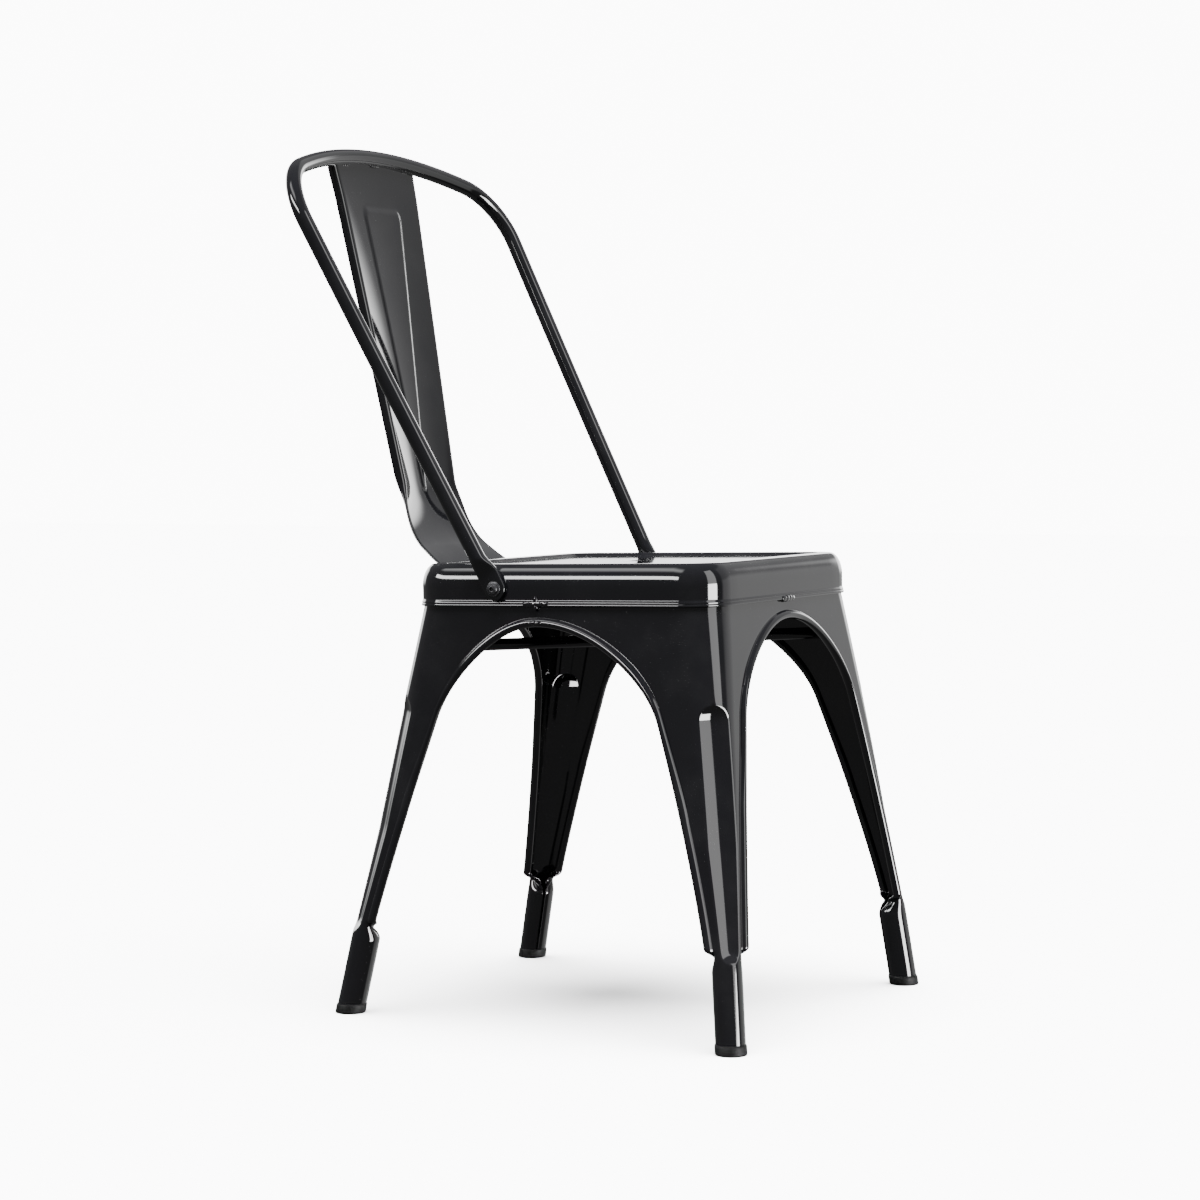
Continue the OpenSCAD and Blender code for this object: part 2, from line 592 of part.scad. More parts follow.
// a rubber block pushed on the end of a rod
module brace_pad(sx, z, from, to) {
    ends = rod_ends(sx, z);
    color([0.06, 0.05, 0.05])
        between(ends[from], ends[to]) translate([0, 0, pad_inset])
            difference() {
                translate([-pad_h / 2, -pad_w / 2, 0]) cube([pad_h, pad_w, pad_l]);
                translate([0, 0, -cut]) cylinder(h = pad_l + 2 * cut, d = brace_d);
            }
}

// Fasteners: built on the +X side: the outer face of the hoop's flat end is where the washer sits.

seat_face = skin_x + paddle_t;
head_r = bolt_d * 0.9;
head_t = bolt_d * 0.6;
nut_face = seat_w / 2 - sheet_t;
module on_bolt(x) {
    translate([x, bolt_at[1], bolt_at[2]]) rotate([0, 90, 0]) children();
}
module hoop_bolt() {
    head_x = seat_face + washer_t;
    tip_x = nut_face - nut_t - 1;
    color([0.05, 0.05, 0.055])
        difference() {
            union() {
                on_bolt(tip_x) cylinder(h = head_x - tip_x, d = bolt_d);
                on_bolt(head_x) rotate_extrude() polygon(concat([[0, 0], [head_r, 0]],
                    [for (a = [15:15:90]) [head_r * cos(a - 15) * 0.999, head_t * sin(a)]],
                    [[0, head_t]]));
            }
            on_bolt(head_x + head_t * 0.35) cylinder(h = head_t, r = bolt_d * 0.33, $fn = 6);
        }
}
module hoop_washer() {
    color([0.05, 0.05, 0.055])
        difference() {
            on_bolt(seat_face) cylinder(h = washer_t, d = washer_d);
            on_bolt(seat_face - cut) cylinder(h = washer_t + 2 * cut, d = bolt_d + bolt_clear);
        }
}
module hoop_nut() {
    color([0.3, 0.3, 0.31])
        difference() {
            on_bolt(nut_face - nut_t) cylinder(h = nut_t, r = nut_af / 2 / cos(30), $fn = 6);
            on_bolt(nut_face - nut_t - cut)
                cylinder(h = nut_t + 2 * cut, d = bolt_d + thread_clear);
        }
}

// Places: middle of the overall box along y, from the front feet to the back of the hoop
front_edge = -front_foot_y - cap_r * norm([foot_slope(FRONT)[1], 1]);
back_edge = max([for (p = hoop_points) p[1]]);
module placed(left, front) {
    translate([0, -(front_edge + back_edge) / 2, 0])
        mirror([left ? 0 : 1, 0, 0]) mirror([0, front ? 1 : 0, 0]) children();
}
module chair_frame() { placed(true, false) children(); }

chair_frame() seat_pan();
placed(true, true) leg(FRONT);  // leg_front_left
placed(false, true) leg(FRONT);  // leg_front_right
placed(true, false) leg(REAR);  // leg_rear_left
placed(false, false) leg(REAR);  // leg_rear_right
placed(true, true) foot_cap(FRONT);  // foot_cap_front_left
placed(false, true) foot_cap(FRONT);  // foot_cap_front_right
placed(true, false) foot_cap(REAR);  // foot_cap_rear_left
placed(false, false) foot_cap(REAR);  // foot_cap_rear_right
chair_frame() back_hoop();
chair_frame() back_splat();
chair_frame() brace(1, brace_z[0]);  // brace_lower
chair_frame() brace(-1, brace_z[1]);  // brace_upper
chair_frame() brace_pad(1, brace_z[0], 0, 1);  // brace_pad_front_left
chair_frame() brace_pad(1, brace_z[0], 1, 0);  // brace_pad_rear_right
chair_frame() brace_pad(-1, brace_z[1], 0, 1);  // brace_pad_front_right
chair_frame() brace_pad(-1, brace_z[1], 1, 0);  // brace_pad_rear_left
placed(true, false) hoop_bolt();  // hoop_bolt_left
placed(false, false) hoop_bolt();  // hoop_bolt_right
placed(true, false) hoop_washer();  // hoop_washer_left
placed(false, false) hoop_washer();  // hoop_washer_right
placed(true, false) hoop_nut();  // hoop_nut_left
placed(false, false) hoop_nut();  // hoop_nut_right
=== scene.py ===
import json
from math import asin, atan2, cos, pi, radians, sin, sqrt, tan

import bmesh
import bpy
from mathutils import Euler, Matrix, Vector


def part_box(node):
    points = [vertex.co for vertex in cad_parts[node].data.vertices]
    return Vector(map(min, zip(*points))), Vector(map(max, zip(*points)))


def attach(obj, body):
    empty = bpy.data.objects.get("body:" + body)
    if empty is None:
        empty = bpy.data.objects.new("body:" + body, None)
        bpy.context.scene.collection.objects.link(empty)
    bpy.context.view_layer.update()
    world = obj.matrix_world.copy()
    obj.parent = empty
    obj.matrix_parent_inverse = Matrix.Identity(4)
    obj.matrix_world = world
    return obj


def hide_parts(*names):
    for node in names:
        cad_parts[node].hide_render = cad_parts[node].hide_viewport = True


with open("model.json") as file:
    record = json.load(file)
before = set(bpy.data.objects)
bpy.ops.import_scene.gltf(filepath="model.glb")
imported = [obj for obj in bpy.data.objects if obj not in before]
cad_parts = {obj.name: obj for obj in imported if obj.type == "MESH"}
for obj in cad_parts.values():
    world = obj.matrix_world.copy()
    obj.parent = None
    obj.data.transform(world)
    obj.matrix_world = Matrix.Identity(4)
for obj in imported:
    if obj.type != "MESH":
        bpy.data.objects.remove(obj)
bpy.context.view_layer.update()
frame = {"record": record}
mm = 0.001

sheetThickness = 1.2 * mm  # all the pressed steel
weldGap = 0.3 * mm
seatTilt = radians(1)      # the front of the seat is higher

seat = dict(
    cornerRadius=42 * mm,
    rollRadius=13 * mm,    # between the rim and the skirt
    rollFall=23 * mm,      # height over which the roll runs out into the skirt
    skirt=41 * mm,
    rimWidth=10 * mm,
    dish=3 * mm,
    dishRun=5 * mm,
    hemHeight=5 * mm,
    hemOut=1.4 * mm,
    # two small ridges, as shares of the hem's stand-out and height
    hemShape=[(0, 1.22), (0.10, 1.10), (0.28, 0.98), (0.46, 0.86), (0.62, 0.74), (0.72, 0.64),
              (0.72, 0.60), (0.50, 0.57), (0.44, 0.53), (0.56, 0.46), (0.76, 0.36), (0.93, 0.25),
              (1.02, 0.14), (1.0, 0.07), (0.85, 0.02), (0.55, 0)],
    drainHole=10 * mm,
    holeSunk=1.6 * mm,     # how far the hole's rim is pressed down
)
caps = dict(lip=1 * mm, height=10 * mm, plug=18 * mm, plugGap=1 * mm)

# where the seat is, from the frame
seatLow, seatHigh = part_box("seat_pan")
seatWidth = seatHigh[0] - seatLow[0] - 2 * seat["hemOut"]
seatDepth = seatHigh[1] - seatLow[1] - 2 * seat["hemOut"]
midY = (seatLow[1] + seatHigh[1]) / 2
seatTop = seatHigh[2] - (seatDepth / 2 - seat["rollRadius"]) * sin(seatTilt)
hemZ = seatTop - seat["skirt"]
mounts = {m["name"]: m["pos_m"] for m in frame["record"]["mounts"]}


def lerp(a, b, t):
    return a + (b - a) * t


def limit(t):
    return max(0.0, min(1.0, t))


def ease(t):
    t = limit(t)
    return t * t * (3 - 2 * t)


def steps(a, b, n):
    return [lerp(a, b, i / n) for i in range(1, n + 1)]


# the sitter's left is +X
def signOf(side):
    return 1 if side == "left" else -1


# turns a point about the x axis at the hem's height; below the hem the turn fades out
def tilted(point, side):
    x, y, z = point
    fade = limit((z - caps["height"]) / (hemZ - caps["height"]))
    along, up = side * y, z - hemZ
    turnedY = along * cos(seatTilt) + up * sin(seatTilt)
    turnedZ = up * cos(seatTilt) - along * sin(seatTilt)
    return Vector((x, side * lerp(along, turnedY, fade), hemZ + lerp(up, turnedZ, fade)))


# a grid whose points are moved to the table's places, row by row
def laySheet(bm, table):
    rows, columns = len(table), len(table[0])
    made = bmesh.ops.create_grid(bm, x_segments=columns - 1, y_segments=rows - 1, size=0.5)
    for vert in made["verts"]:
        column = round((vert.co.x + 0.5) * (columns - 1))
        row = round((vert.co.y + 0.5) * (rows - 1))
        vert.co = table[row][column]
    return made["verts"]


# a profile of (radius, height) spun about the z axis; returns the new points
def turnProfile(bm, profile, segments=48, loop=False):
    start = len(bm.verts)
    verts = [bm.verts.new((r, 0, h)) for r, h in profile]
    pairs = list(zip(verts, verts[1:])) + ([(verts[-1], verts[0])] if loop else [])
    edges = [bm.edges.new(pair) for pair in pairs]
    bmesh.ops.spin(bm, geom=verts + edges, cent=(0, 0, 0), axis=(0, 0, 1),
                   angle=2 * pi, steps=segments, use_merge=True, use_duplicate=False)
    bm.verts.ensure_lookup_table()
    made = bm.verts[start:]
    bmesh.ops.remove_doubles(bm, verts=made, dist=1e-7)
    bm.verts.ensure_lookup_table()
    return bm.verts[start:]


# stands a shape made along z on the line from start towards end
def standOn(verts, start, end):
    turn = (Vector(end) - Vector(start)).to_track_quat("Z", "Y").to_matrix()
    for vert in verts:
        vert.co = Vector(start) + turn @ vert.co


# wall gives a single sheet its thickness; edges that turn more than sharp degrees stay crisp
def makePiece(words, bm, material, nodes=(), wall=0.0, sharp=40):
    bmesh.ops.remove_doubles(bm, verts=bm.verts, dist=2e-6)
    bmesh.ops.recalc_face_normals(bm, faces=bm.faces)
    name = words.replace(" ", "-")
    mesh = bpy.data.meshes.new(name)
    bm.to_mesh(mesh)
    bm.free()
    for face in mesh.polygons:
        face.use_smooth = True
    mesh.materials.append(material)
    piece = bpy.data.objects.new(name, mesh)
    bpy.context.scene.collection.objects.link(piece)
    if wall:
        thick = piece.modifiers.new("wall", "SOLIDIFY")
        thick.thickness = wall
        thick.offset = 0
        graph = bpy.context.evaluated_depsgraph_get()
        walled = bpy.data.meshes.new_from_object(piece.evaluated_get(graph))
        piece.modifiers.clear()
        piece.data = walled
    piece.data.set_sharp_from_angle(angle=radians(sharp))
    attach(piece, "root")
    if nodes:
        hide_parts(*nodes)
    return piece


# a number socket that takes part in Python arithmetic
class Value:
    def __init__(self, tree, socket):
        self.tree = tree
        self.socket = socket

    def math(self, operation, first, second):
        node = self.tree.nodes.new("ShaderNodeMath")
        node.operation = operation
        for slotIn, value in zip(node.inputs, (first, second)):
            if isinstance(value, Value):
                self.tree.links.new(value.socket, slotIn)
            else:
                slotIn.default_value = value
        return Value(self.tree, node.outputs[0])

    def __add__(self, other):
        return self.math("ADD", self, other)

    def __radd__(self, other):
        return self.math("ADD", other, self)

    def __sub__(self, other):
        return self.math("SUBTRACT", self, other)

    def __rsub__(self, other):
        return self.math("SUBTRACT", other, self)

    def __mul__(self, other):
        return self.math("MULTIPLY", self, other)

    def __rmul__(self, other):
        return self.math("MULTIPLY", other, self)

    def __truediv__(self, other):
        return self.math("DIVIDE", self, other)

    def root(self):
        return self.math("POWER", self, 0.5)


class NodeBench:
    def __init__(self, tree):
        self.tree = tree
        tree.nodes.clear()

    # settings are set first, then the sockets' values or links
    def node(self, kind, settings=None, **inputs):
        made = self.tree.nodes.new(kind)
        for key, value in (settings or {}).items():
            if key == "stops":
                for stop, (place, shade) in zip(made.color_ramp.elements, value):
                    stop.position = place
                    stop.color = shade
            else:
                setattr(made, key, value)
        for key, value in inputs.items():
            socket = made.inputs[key.replace("_", " ")]
            if isinstance(value, Value):
                self.tree.links.new(value.socket, socket)
            elif isinstance(value, bpy.types.NodeSocket):
                self.tree.links.new(value, socket)
            else:
                socket.default_value = value
        return made

    def value(self, socket):
        return Value(self.tree, socket)

    # 0 below low, 1 above high, smooth between
    def rise(self, value, low, high):
        made = self.node("ShaderNodeMapRange", {"interpolation_type": "SMOOTHSTEP"},
                         Value=value, From_Min=low, From_Max=high)
        return self.value(made.outputs["Result"])

    def noise(self, place, scale, detail=2.0, roughness=0.5):
        made = self.node("ShaderNodeTexNoise", None, Vector=place, Scale=scale,
                         Detail=detail, Roughness=roughness)
        return self.value(made.outputs[0])

    def blend(self, factor, first, second):
        made = self.node("ShaderNodeMix", {"data_type": "RGBA"})
        self.tree.links.new(factor.socket, made.inputs[0])
        for socket, shade in zip((made.inputs[6], made.inputs[7]), (first, second)):
            if isinstance(shade, bpy.types.NodeSocket):
                self.tree.links.new(shade, socket)
            else:
                socket.default_value = (*shade, 1)
        return made.outputs[2]


def newMaterial(name):
    material = bpy.data.materials.new(name)
    material.use_nodes = True
    bench = NodeBench(material.node_tree)
    place = bench.node("ShaderNodeTexCoord").outputs["Object"]
    return material, bench, place


def finishMaterial(bench, shader):
    bench.node("ShaderNodeOutputMaterial", None, Surface=shader.outputs["BSDF"])


glossPaint = dict(
    colour=(0.0026, 0.0026, 0.0032),
    dustColour=(0.0075, 0.0075, 0.0080),
    roughness=0.055,
    peelSize=2.2 * mm,      # orange peel of the sprayed coat
    peelHeight=0.0035 * mm,
    waveSize=45 * mm,       # slight unevenness of the pressed sheet
    waveHeight=0.035 * mm,
    speckHeight=0.01 * mm,  # dust under the coat
    speckScale=900.0,
    hazeScale=14.0,         # handling haze
    coat=0.35,
)


def makeGlossPaint(name, own):
    material, bench, place = newMaterial(name)
    wave = bench.noise(place, 1 / own["waveSize"], 1.0)
    peel = bench.noise(place, 1 / own["peelSize"], 2.0)
    haze = bench.noise(place, own["hazeScale"], 4.0, 0.6)
    specks = bench.rise(bench.noise(place, own["speckScale"], 2.0), 0.72, 0.80)
    smudge = bench.rise(haze, 0.45, 0.75)
    colour = bench.blend(smudge * 0.35 + specks * 0.5, own["colour"], own["dustColour"])
    height = wave * own["waveHeight"] + peel * own["peelHeight"] + specks * own["speckHeight"]
    bump = bench.node("ShaderNodeBump", None, Strength=1.0, Distance=1.0, Height=height)
    shader = bench.node("ShaderNodeBsdfPrincipled", None, Base_Color=colour,
                        Roughness=smudge * 0.035 + specks * 0.15 + own["roughness"],
                        Coat_Weight=own["coat"], Coat_Roughness=0.03, IOR=1.5,
                        Normal=bump.outputs["Normal"])
    finishMaterial(bench, shader)
    return material


mouldedRubber = dict(
    capColour=(0.0022, 0.0022, 0.0024),
    capScuff=(0.0060, 0.0060, 0.0058),
    padColour=(0.0020, 0.0016, 0.0014),
    padScuff=(0.0050, 0.0045, 0.0042),
    grainSize=0.7 * mm,
    grainHeight=0.05 * mm,
    scuffScale=60.0,
)


def makeRubber(name, colour, scuff, own):
    material, bench, place = newMaterial(name)
    grain = bench.noise(place, 1 / own["grainSize"], 3.0)
    cloud = bench.noise(place, own["scuffScale"], 4.0, 0.65)
    worn = bench.rise(cloud, 0.45, 0.72)
    colours = bench.blend(worn * 0.6, colour, scuff)
    bump = bench.node("ShaderNodeBump", None, Strength=0.7, Distance=1.0,
                      Height=grain * own["grainHeight"])
    shader = bench.node("ShaderNodeBsdfPrincipled", None, Base_Color=colours,
                        Roughness=worn * 0.15 + grain * 0.12 + 0.52, IOR=1.33,
                        Normal=bump.outputs["Normal"])
    finishMaterial(bench, shader)
    return material


coatedSteel = dict(colour=(0.022, 0.022, 0.024), bright=(0.11, 0.11, 0.115), roughness=0.26)
platedSteel = dict(colour=(0.50, 0.50, 0.51), bright=(0.62, 0.61, 0.58), roughness=0.30)
steelWear = dict(rubScale=260.0, scratchScale=2200.0, scratchHeight=0.01 * mm)


def makeFastenerSteel(name, own, metallic):
    material, bench, place = newMaterial(name)
    cloud = bench.noise(place, steelWear["rubScale"], 4.0, 0.6)
    scratch = bench.noise(place, steelWear["scratchScale"], 1.0)
    rubbed = bench.rise(cloud, 0.50, 0.80)
    colours = bench.blend(rubbed * 0.5, own["colour"], own["bright"])
    bump = bench.node("ShaderNodeBump", None, Strength=0.6, Distance=1.0,
                      Height=scratch * steelWear["scratchHeight"])
    shader = bench.node("ShaderNodeBsdfPrincipled", None, Base_Color=colours,
                        Roughness=cloud * 0.14 + own["roughness"], Metallic=metallic,
                        Normal=bump.outputs["Normal"])
    finishMaterial(bench, shader)
    return material


paint = makeGlossPaint("gloss black paint", glossPaint)
capRubber = makeRubber("foot cap rubber", mouldedRubber["capColour"],
                       mouldedRubber["capScuff"], mouldedRubber)
padRubber = makeRubber("brace pad rubber", mouldedRubber["padColour"],
                       mouldedRubber["padScuff"], mouldedRubber)
fastenerBlack = makeFastenerSteel("black bolt steel", coatedSteel, 0.6)
nutSteel = makeFastenerSteel("plated nut steel", platedSteel, 1.0)
print("materials made")


# places round the seat's outline: the middle of the corner's arc and the way out from it
def outlineColumns(width, depth, radius, cornerSteps, sideSteps):
    halfX, halfY = width / 2 - radius, depth / 2 - radius
    middles = [(halfX, halfY), (-halfX, halfY), (-halfX, -halfY), (halfX, -halfY)]
    columns = []
    for turn, middle in enumerate(middles):
        start = turn * pi / 2
        for i in range(cornerSteps + 1):
            columns.append((*middle, start + pi / 2 * i / cornerSteps))
        after = middles[(turn + 1) % 4]
        for t in steps(0, 1, sideSteps)[:-1]:
            columns.append((lerp(middle[0], after[0], t), lerp(middle[1], after[1], t),
                            start + pi / 2))
    return columns + [columns[0]]


def buildSeat(own):
    radius, roll, t = own["cornerRadius"], own["rollRadius"], sheetThickness
    fieldZ = seatTop - own["dish"] - t / 2
    rimZ = seatTop - t / 2
    rimOut = radius - roll
    dishEnd = rimOut - own["rimWidth"]
    profile = [(dishEnd - own["dishRun"] - 6 * mm, fieldZ)]
    profile += [(lerp(dishEnd - own["dishRun"], dishEnd, i / 10), lerp(fieldZ, rimZ, ease(i / 10)))
                for i in range(11)]
    profile += [(dishEnd + 3 * mm, rimZ), (rimOut - 2 * mm, rimZ)]
    fall = own["rollFall"]
    profile += [(rimOut + (roll - t / 2) * sin(pi / 2 * i / 20),
                 seatTop - fall + (fall - t / 2) * cos(pi / 2 * i / 20)) for i in range(21)]
    wall = radius - t / 2
    profile += [(wall, hemZ + 12 * mm), (wall, hemZ + 7 * mm)]
    profile += [(wall + x * own["hemOut"], hemZ + z * own["hemHeight"]) for x, z in own["hemShape"]]
    columns = outlineColumns(seatWidth, seatDepth, radius, 14, 14)
    table = []
    inner = profile[0]
    hole = own["drainHole"] / 2
    # rows from the hole's sunken rim out over the field
    for sunk, share in ((1, 0.0), (0.375, 0.004), (0.0625, 0.012), (0, 0.025), (0, 0.1),
                        (0, 0.3), (0, 0.55), (0, 0.8)):
        row = []
        for cx, cy, a in columns:
            edge = Vector((cx + inner[0] * cos(a), cy + inner[0] * sin(a)))
            at = (edge.normalized() * hole).lerp(edge, share)
            row.append((at.x, at.y, inner[1] - sunk * own["holeSunk"]))
        table.append(row)
    table += [[(cx + r * cos(a), cy + r * sin(a), z) for cx, cy, a in columns] for r, z in profile]
    for row in table:
        for i, (x, y, z) in enumerate(row):
            turned = y * cos(seatTilt) + (z - hemZ) * sin(seatTilt)
            row[i] = (x, midY + turned, hemZ + (z - hemZ) * cos(seatTilt) - y * sin(seatTilt))
    bm = bmesh.new()
    laySheet(bm, table)
    makePiece("seat pan", bm, paint, ["seat_pan"], wall=t)
    print("seat made")


legs = dict(
    tube=29 * mm,           # outer diameter of the round foot tube
    tubeTop=76 * mm,
    flange=8 * mm,          # tucked up inside the skirt
    frontSide=64 * mm,      # widths of the faces at the arches
    rearSide=54 * mm,
    end=52 * mm,
    seam=22 * mm,           # where front and rear legs meet, behind the seat's middle
    grooveWidth=32 * mm,
    grooveHollow=1.7 * mm,
    grooveDrop=92 * mm,
    grooveTaper=190 * mm,
    grooveLift=8 * mm,      # from the tube up to the groove's end
    archDrop=20 * mm,
    archHeight=92 * mm,
    bead=9 * mm,
    slit=radians(8),        # half the opening left in the foot tube's seam
    closeAbove=22 * mm,     # the sheet starts to close this far above the tube
    closeRun=24 * mm,
    faceCurve=(0.65, 1.3),  # share of the leg's height for a full face, and the taper's power
)
halfX = seatWidth / 2 - sheetThickness - weldGap
halfY = seatDepth / 2 - sheetThickness - weldGap
tubeRadius = legs["tube"] / 2
legTop = hemZ + legs["flange"]
apexZ = hemZ - legs["archDrop"]
grooveTop = hemZ - legs["grooveDrop"]
grooveEnd = legs["tubeTop"] + legs["grooveLift"]
bendTop = seat["cornerRadius"] - sheetThickness - weldGap
bendShare = (pi / 4) / (pi - legs["slit"])  # share of the closed tube's turn that is the bend


def legSizes(end):
    foot = mounts["foot_%s_left" % end]
    front = end == "front"
    return dict(footX=abs(foot[0]), footY=abs(foot[1] - midY), ySide=-1 if front else 1,
                seam=-legs["seam"] if front else legs["seam"],
                side=legs["frontSide" if front else "rearSide"])


def cornerX(leg, z):
    return halfX + max(0, hemZ - z) / hemZ * (leg["footX"] + tubeRadius - halfX)


def cornerY(leg, z):
    return halfY + max(0, hemZ - z) / hemZ * (leg["footY"] + tubeRadius - halfY)


def cornerRadius(z):
    return lerp(tubeRadius, bendTop, limit((z - legs["tubeTop"]) / (hemZ - legs["tubeTop"])))


def faceWidth(widest, z):
    reach, power = legs["faceCurve"]
    spread = (max(0, z - legs["tubeTop"]) / (reach * (hemZ - legs["tubeTop"]))) ** power
    return legs["tube"] + (widest - legs["tube"]) * spread


def archShare(z):
    depth = apexZ - z
    if depth >= legs["archHeight"]:
        return 1
    return sqrt(max(0, 1 - (1 - depth / legs["archHeight"]) ** 2))


def freeEdge(leg, face, z):
    if face == 0:
        return archShare(z) * (cornerY(leg, z) - leg["seam"] - faceWidth(leg["side"], z))
    return archShare(z) * (cornerX(leg, z) - faceWidth(legs["end"], z))


def bendStart(leg, face, z):
    if face == 0:
        return cornerY(leg, z) - cornerRadius(z) - leg["seam"]
    return cornerX(leg, z) - cornerRadius(z)


# 0 where the sheet is open, 1 where it has closed into the foot tube
def closing(z):
    return ease((legs["tubeTop"] + legs["closeAbove"] - z) / legs["closeRun"])


def closedPoint(leg, point, share, depth):
    z = point[2]
    turn = pi / 4 + share * (pi - legs["slit"])
    r = tubeRadius - depth
    tube = Vector((cornerX(leg, z) - tubeRadius + r * cos(turn),
                   cornerY(leg, z) - tubeRadius + r * sin(turn), z))
    return tilted(Vector(point).lerp(tube, closing(z)), leg["ySide"])


def roundEnd(distance, radius):
    t = limit(distance / radius)
    return sqrt(t * (2 - t))


def grooveHalf(z):
    taper = limit((z - grooveEnd) / (legs["grooveTaper"] - grooveEnd))
    half = legs["grooveWidth"] / 2 * lerp(0.6, 1, taper)
    ends = roundEnd(grooveTop - z, half) * roundEnd(z - grooveEnd, half)
    return min(half, 0.75 * cornerRadius(z)) * ends


def grooveDepth(z, turn):
    r, half = cornerRadius(z), grooveHalf(z)
    side = r * sin(turn)
    if abs(side) >= half:
        return 0
    hollow = legs["grooveHollow"] * 2 * half / legs["grooveWidth"] * (1 - (side / half) ** 2)
    return max(0, r - (r * cos(asin(half / r)) - hollow) / cos(turn))


# shares from the bead to the bend, and the turns round the bead
faceShares = [0, 0.02, 0.10] + [0.10 + 0.90 * i / 9 for i in range(1, 10)]
beadTurns = [radians(25 + 15 * i) for i in range(21)]
# the arch's upper part hangs from the hem; below its shoulder the rows cross the whole leg
archRows = 26
archTurn = radians(60)
shoulderZ = apexZ - legs["archHeight"] * (1 - cos(archTurn))
bendZs = [legTop, hemZ + 2 * mm, hemZ - 2 * mm]
bendZs += steps(hemZ - 2 * mm, grooveTop + 3 * mm, 16)
bendZs += [grooveTop - legs["grooveWidth"] / 2 * (1 - cos(pi / 2 * i / 12)) for i in range(13)]
bendZs += steps(grooveTop - legs["grooveWidth"] / 2, legs["tubeTop"] + 30 * mm, 34)
bendZs += steps(legs["tubeTop"] + 30 * mm, legs["tubeTop"] - 6 * mm, 30)
bendZs += steps(legs["tubeTop"] - 6 * mm, caps["height"] + 0.3 * mm, 8)


# a row's free edge starts at the shoulder and is level with the bend from halfway down
def edgeHeight(z):
    level = legTop / 2
    return z - (legTop - shoulderZ) * limit((z - level) / (legTop - level))


# rows down the leg: height at the free edge, height at the bend, share of the top line
legRows = [(apexZ - legs["archHeight"] * (1 - cos(archTurn * i / archRows)), legTop, i / archRows)
           for i in range(archRows)]
legRows += [(edgeHeight(z), z, 1) for z in bendZs]


# points of a row from the rolled bead to the bend
def faceRow(leg, face, row):
    turn = -1 if face == 0 else 1
    half = sheetThickness / 2
    edge = Vector((freeEdge(leg, face, row[0]), row[0]))
    bend = Vector((row[2] * bendStart(leg, face, row[1]), row[1]))
    inner = edge + (bend - edge).normalized() * legs["bead"]

    def sheetPoint(share, out):
        s, z = inner.lerp(bend, share)
        if face == 0:
            flat = (cornerX(leg, z) - out, leg["seam"] + s, z)
        else:
            flat = (s, cornerY(leg, z) - out, z)
        return closedPoint(leg, flat, turn * lerp(1, bendShare, share), out)

    line = [sheetPoint(share, half) for share in faceShares]
    along = (line[0] - line[2]).normalized()
    out = (sheetPoint(0, 0) - sheetPoint(0, 2 * half)).normalized()
    closed = closing(inner[1])
    r = lerp(legs["bead"] / 2, 1.0 * mm, closed)
    curl = r - half
    roll = lerp(1, 0.25, closed)
    bead = [line[0] + along * (r - curl * cos(a * roll)) + out * curl * sin(a * roll)
            for a in beadTurns]
    return bead[::-1] + line


def bendRow(leg, z):
    side = max(asin(min(1, grooveHalf(z) / cornerRadius(z))), radians(10))
    turns = [lerp(-pi / 4, -side, i / 7) for i in range(1, 7)]
    turns += [lerp(-side, side, i / 18) for i in range(19)]
    turns += [lerp(side, pi / 4, i / 7) for i in range(1, 7)]
    points = []
    for turn in turns:
        r = cornerRadius(z) - sheetThickness / 2 - grooveDepth(z, turn)
        a = pi / 4 + turn
        flat = (cornerX(leg, z) - cornerRadius(z) + r * cos(a),
                cornerY(leg, z) - cornerRadius(z) + r * sin(a), z)
        points.append(closedPoint(leg, flat, bendShare * turn / (pi / 4), sheetThickness / 2))
    return points


def buildLeg(end, side):
    leg = legSizes(end)
    xSide = signOf(side)
    tables = [[faceRow(leg, 0, row) + bendRow(leg, row[1]) + faceRow(leg, 1, row)[::-1]
               for row in legRows[archRows:]]]
    tables += [[faceRow(leg, face, row) for row in legRows[:archRows + 1]] for face in (0, 1)]
    bm = bmesh.new()
    for table in tables:
        laySheet(bm, [[(xSide * p.x, midY + leg["ySide"] * p.y, p.z) for p in row]
                      for row in table])
    makePiece("leg %s %s" % (end, side), bm, paint, ["leg_%s_%s" % (end, side)],
              wall=sheetThickness, sharp=75)


def buildCap(end, side):
    leg = legSizes(end)
    xSide = signOf(side)
    r = tubeRadius + caps["lip"]
    h = caps["height"]
    inside = tubeRadius - sheetThickness - caps["plugGap"]
    # sole with a raised ring, rounded lip, then the plug up inside the tube
    profile = [(0, 0.6 * mm), (r - 9 * mm, 0.6 * mm), (r - 8.6 * mm, 0), (r - 6.6 * mm, 0),
               (r - 6.2 * mm, 0.6 * mm), (r - 4.4 * mm, 0.6 * mm), (r - 4 * mm, 0),
               (r - 1.6 * mm, 0), (r - 0.9 * mm, 0.2 * mm), (r - 0.3 * mm, 0.8 * mm),
               (r, 1.7 * mm), (r, h - 2.2 * mm), (r - 0.15 * mm, h - 1.2 * mm),
               (r - 0.5 * mm, h - 0.4 * mm), (r - 1.1 * mm, h), (inside, h),
               (inside, h + caps["plug"] - 2 * mm), (inside - 2 * mm, h + caps["plug"]),
               (0, h + caps["plug"])]
    slopeX = (halfX - leg["footX"] - tubeRadius) / hemZ
    slopeY = (halfY - leg["footY"] - tubeRadius) / hemZ
    bm = bmesh.new()
    for vert in turnProfile(bm, profile, 64):
        x, y, z = vert.co
        vert.co = (xSide * (leg["footX"] + x + slopeX * z),
                   midY + leg["ySide"] * (leg["footY"] + y + slopeY * z), z)
    makePiece("foot cap %s %s" % (end, side), bm, capRubber,
              ["foot_cap_%s_%s" % (end, side)])


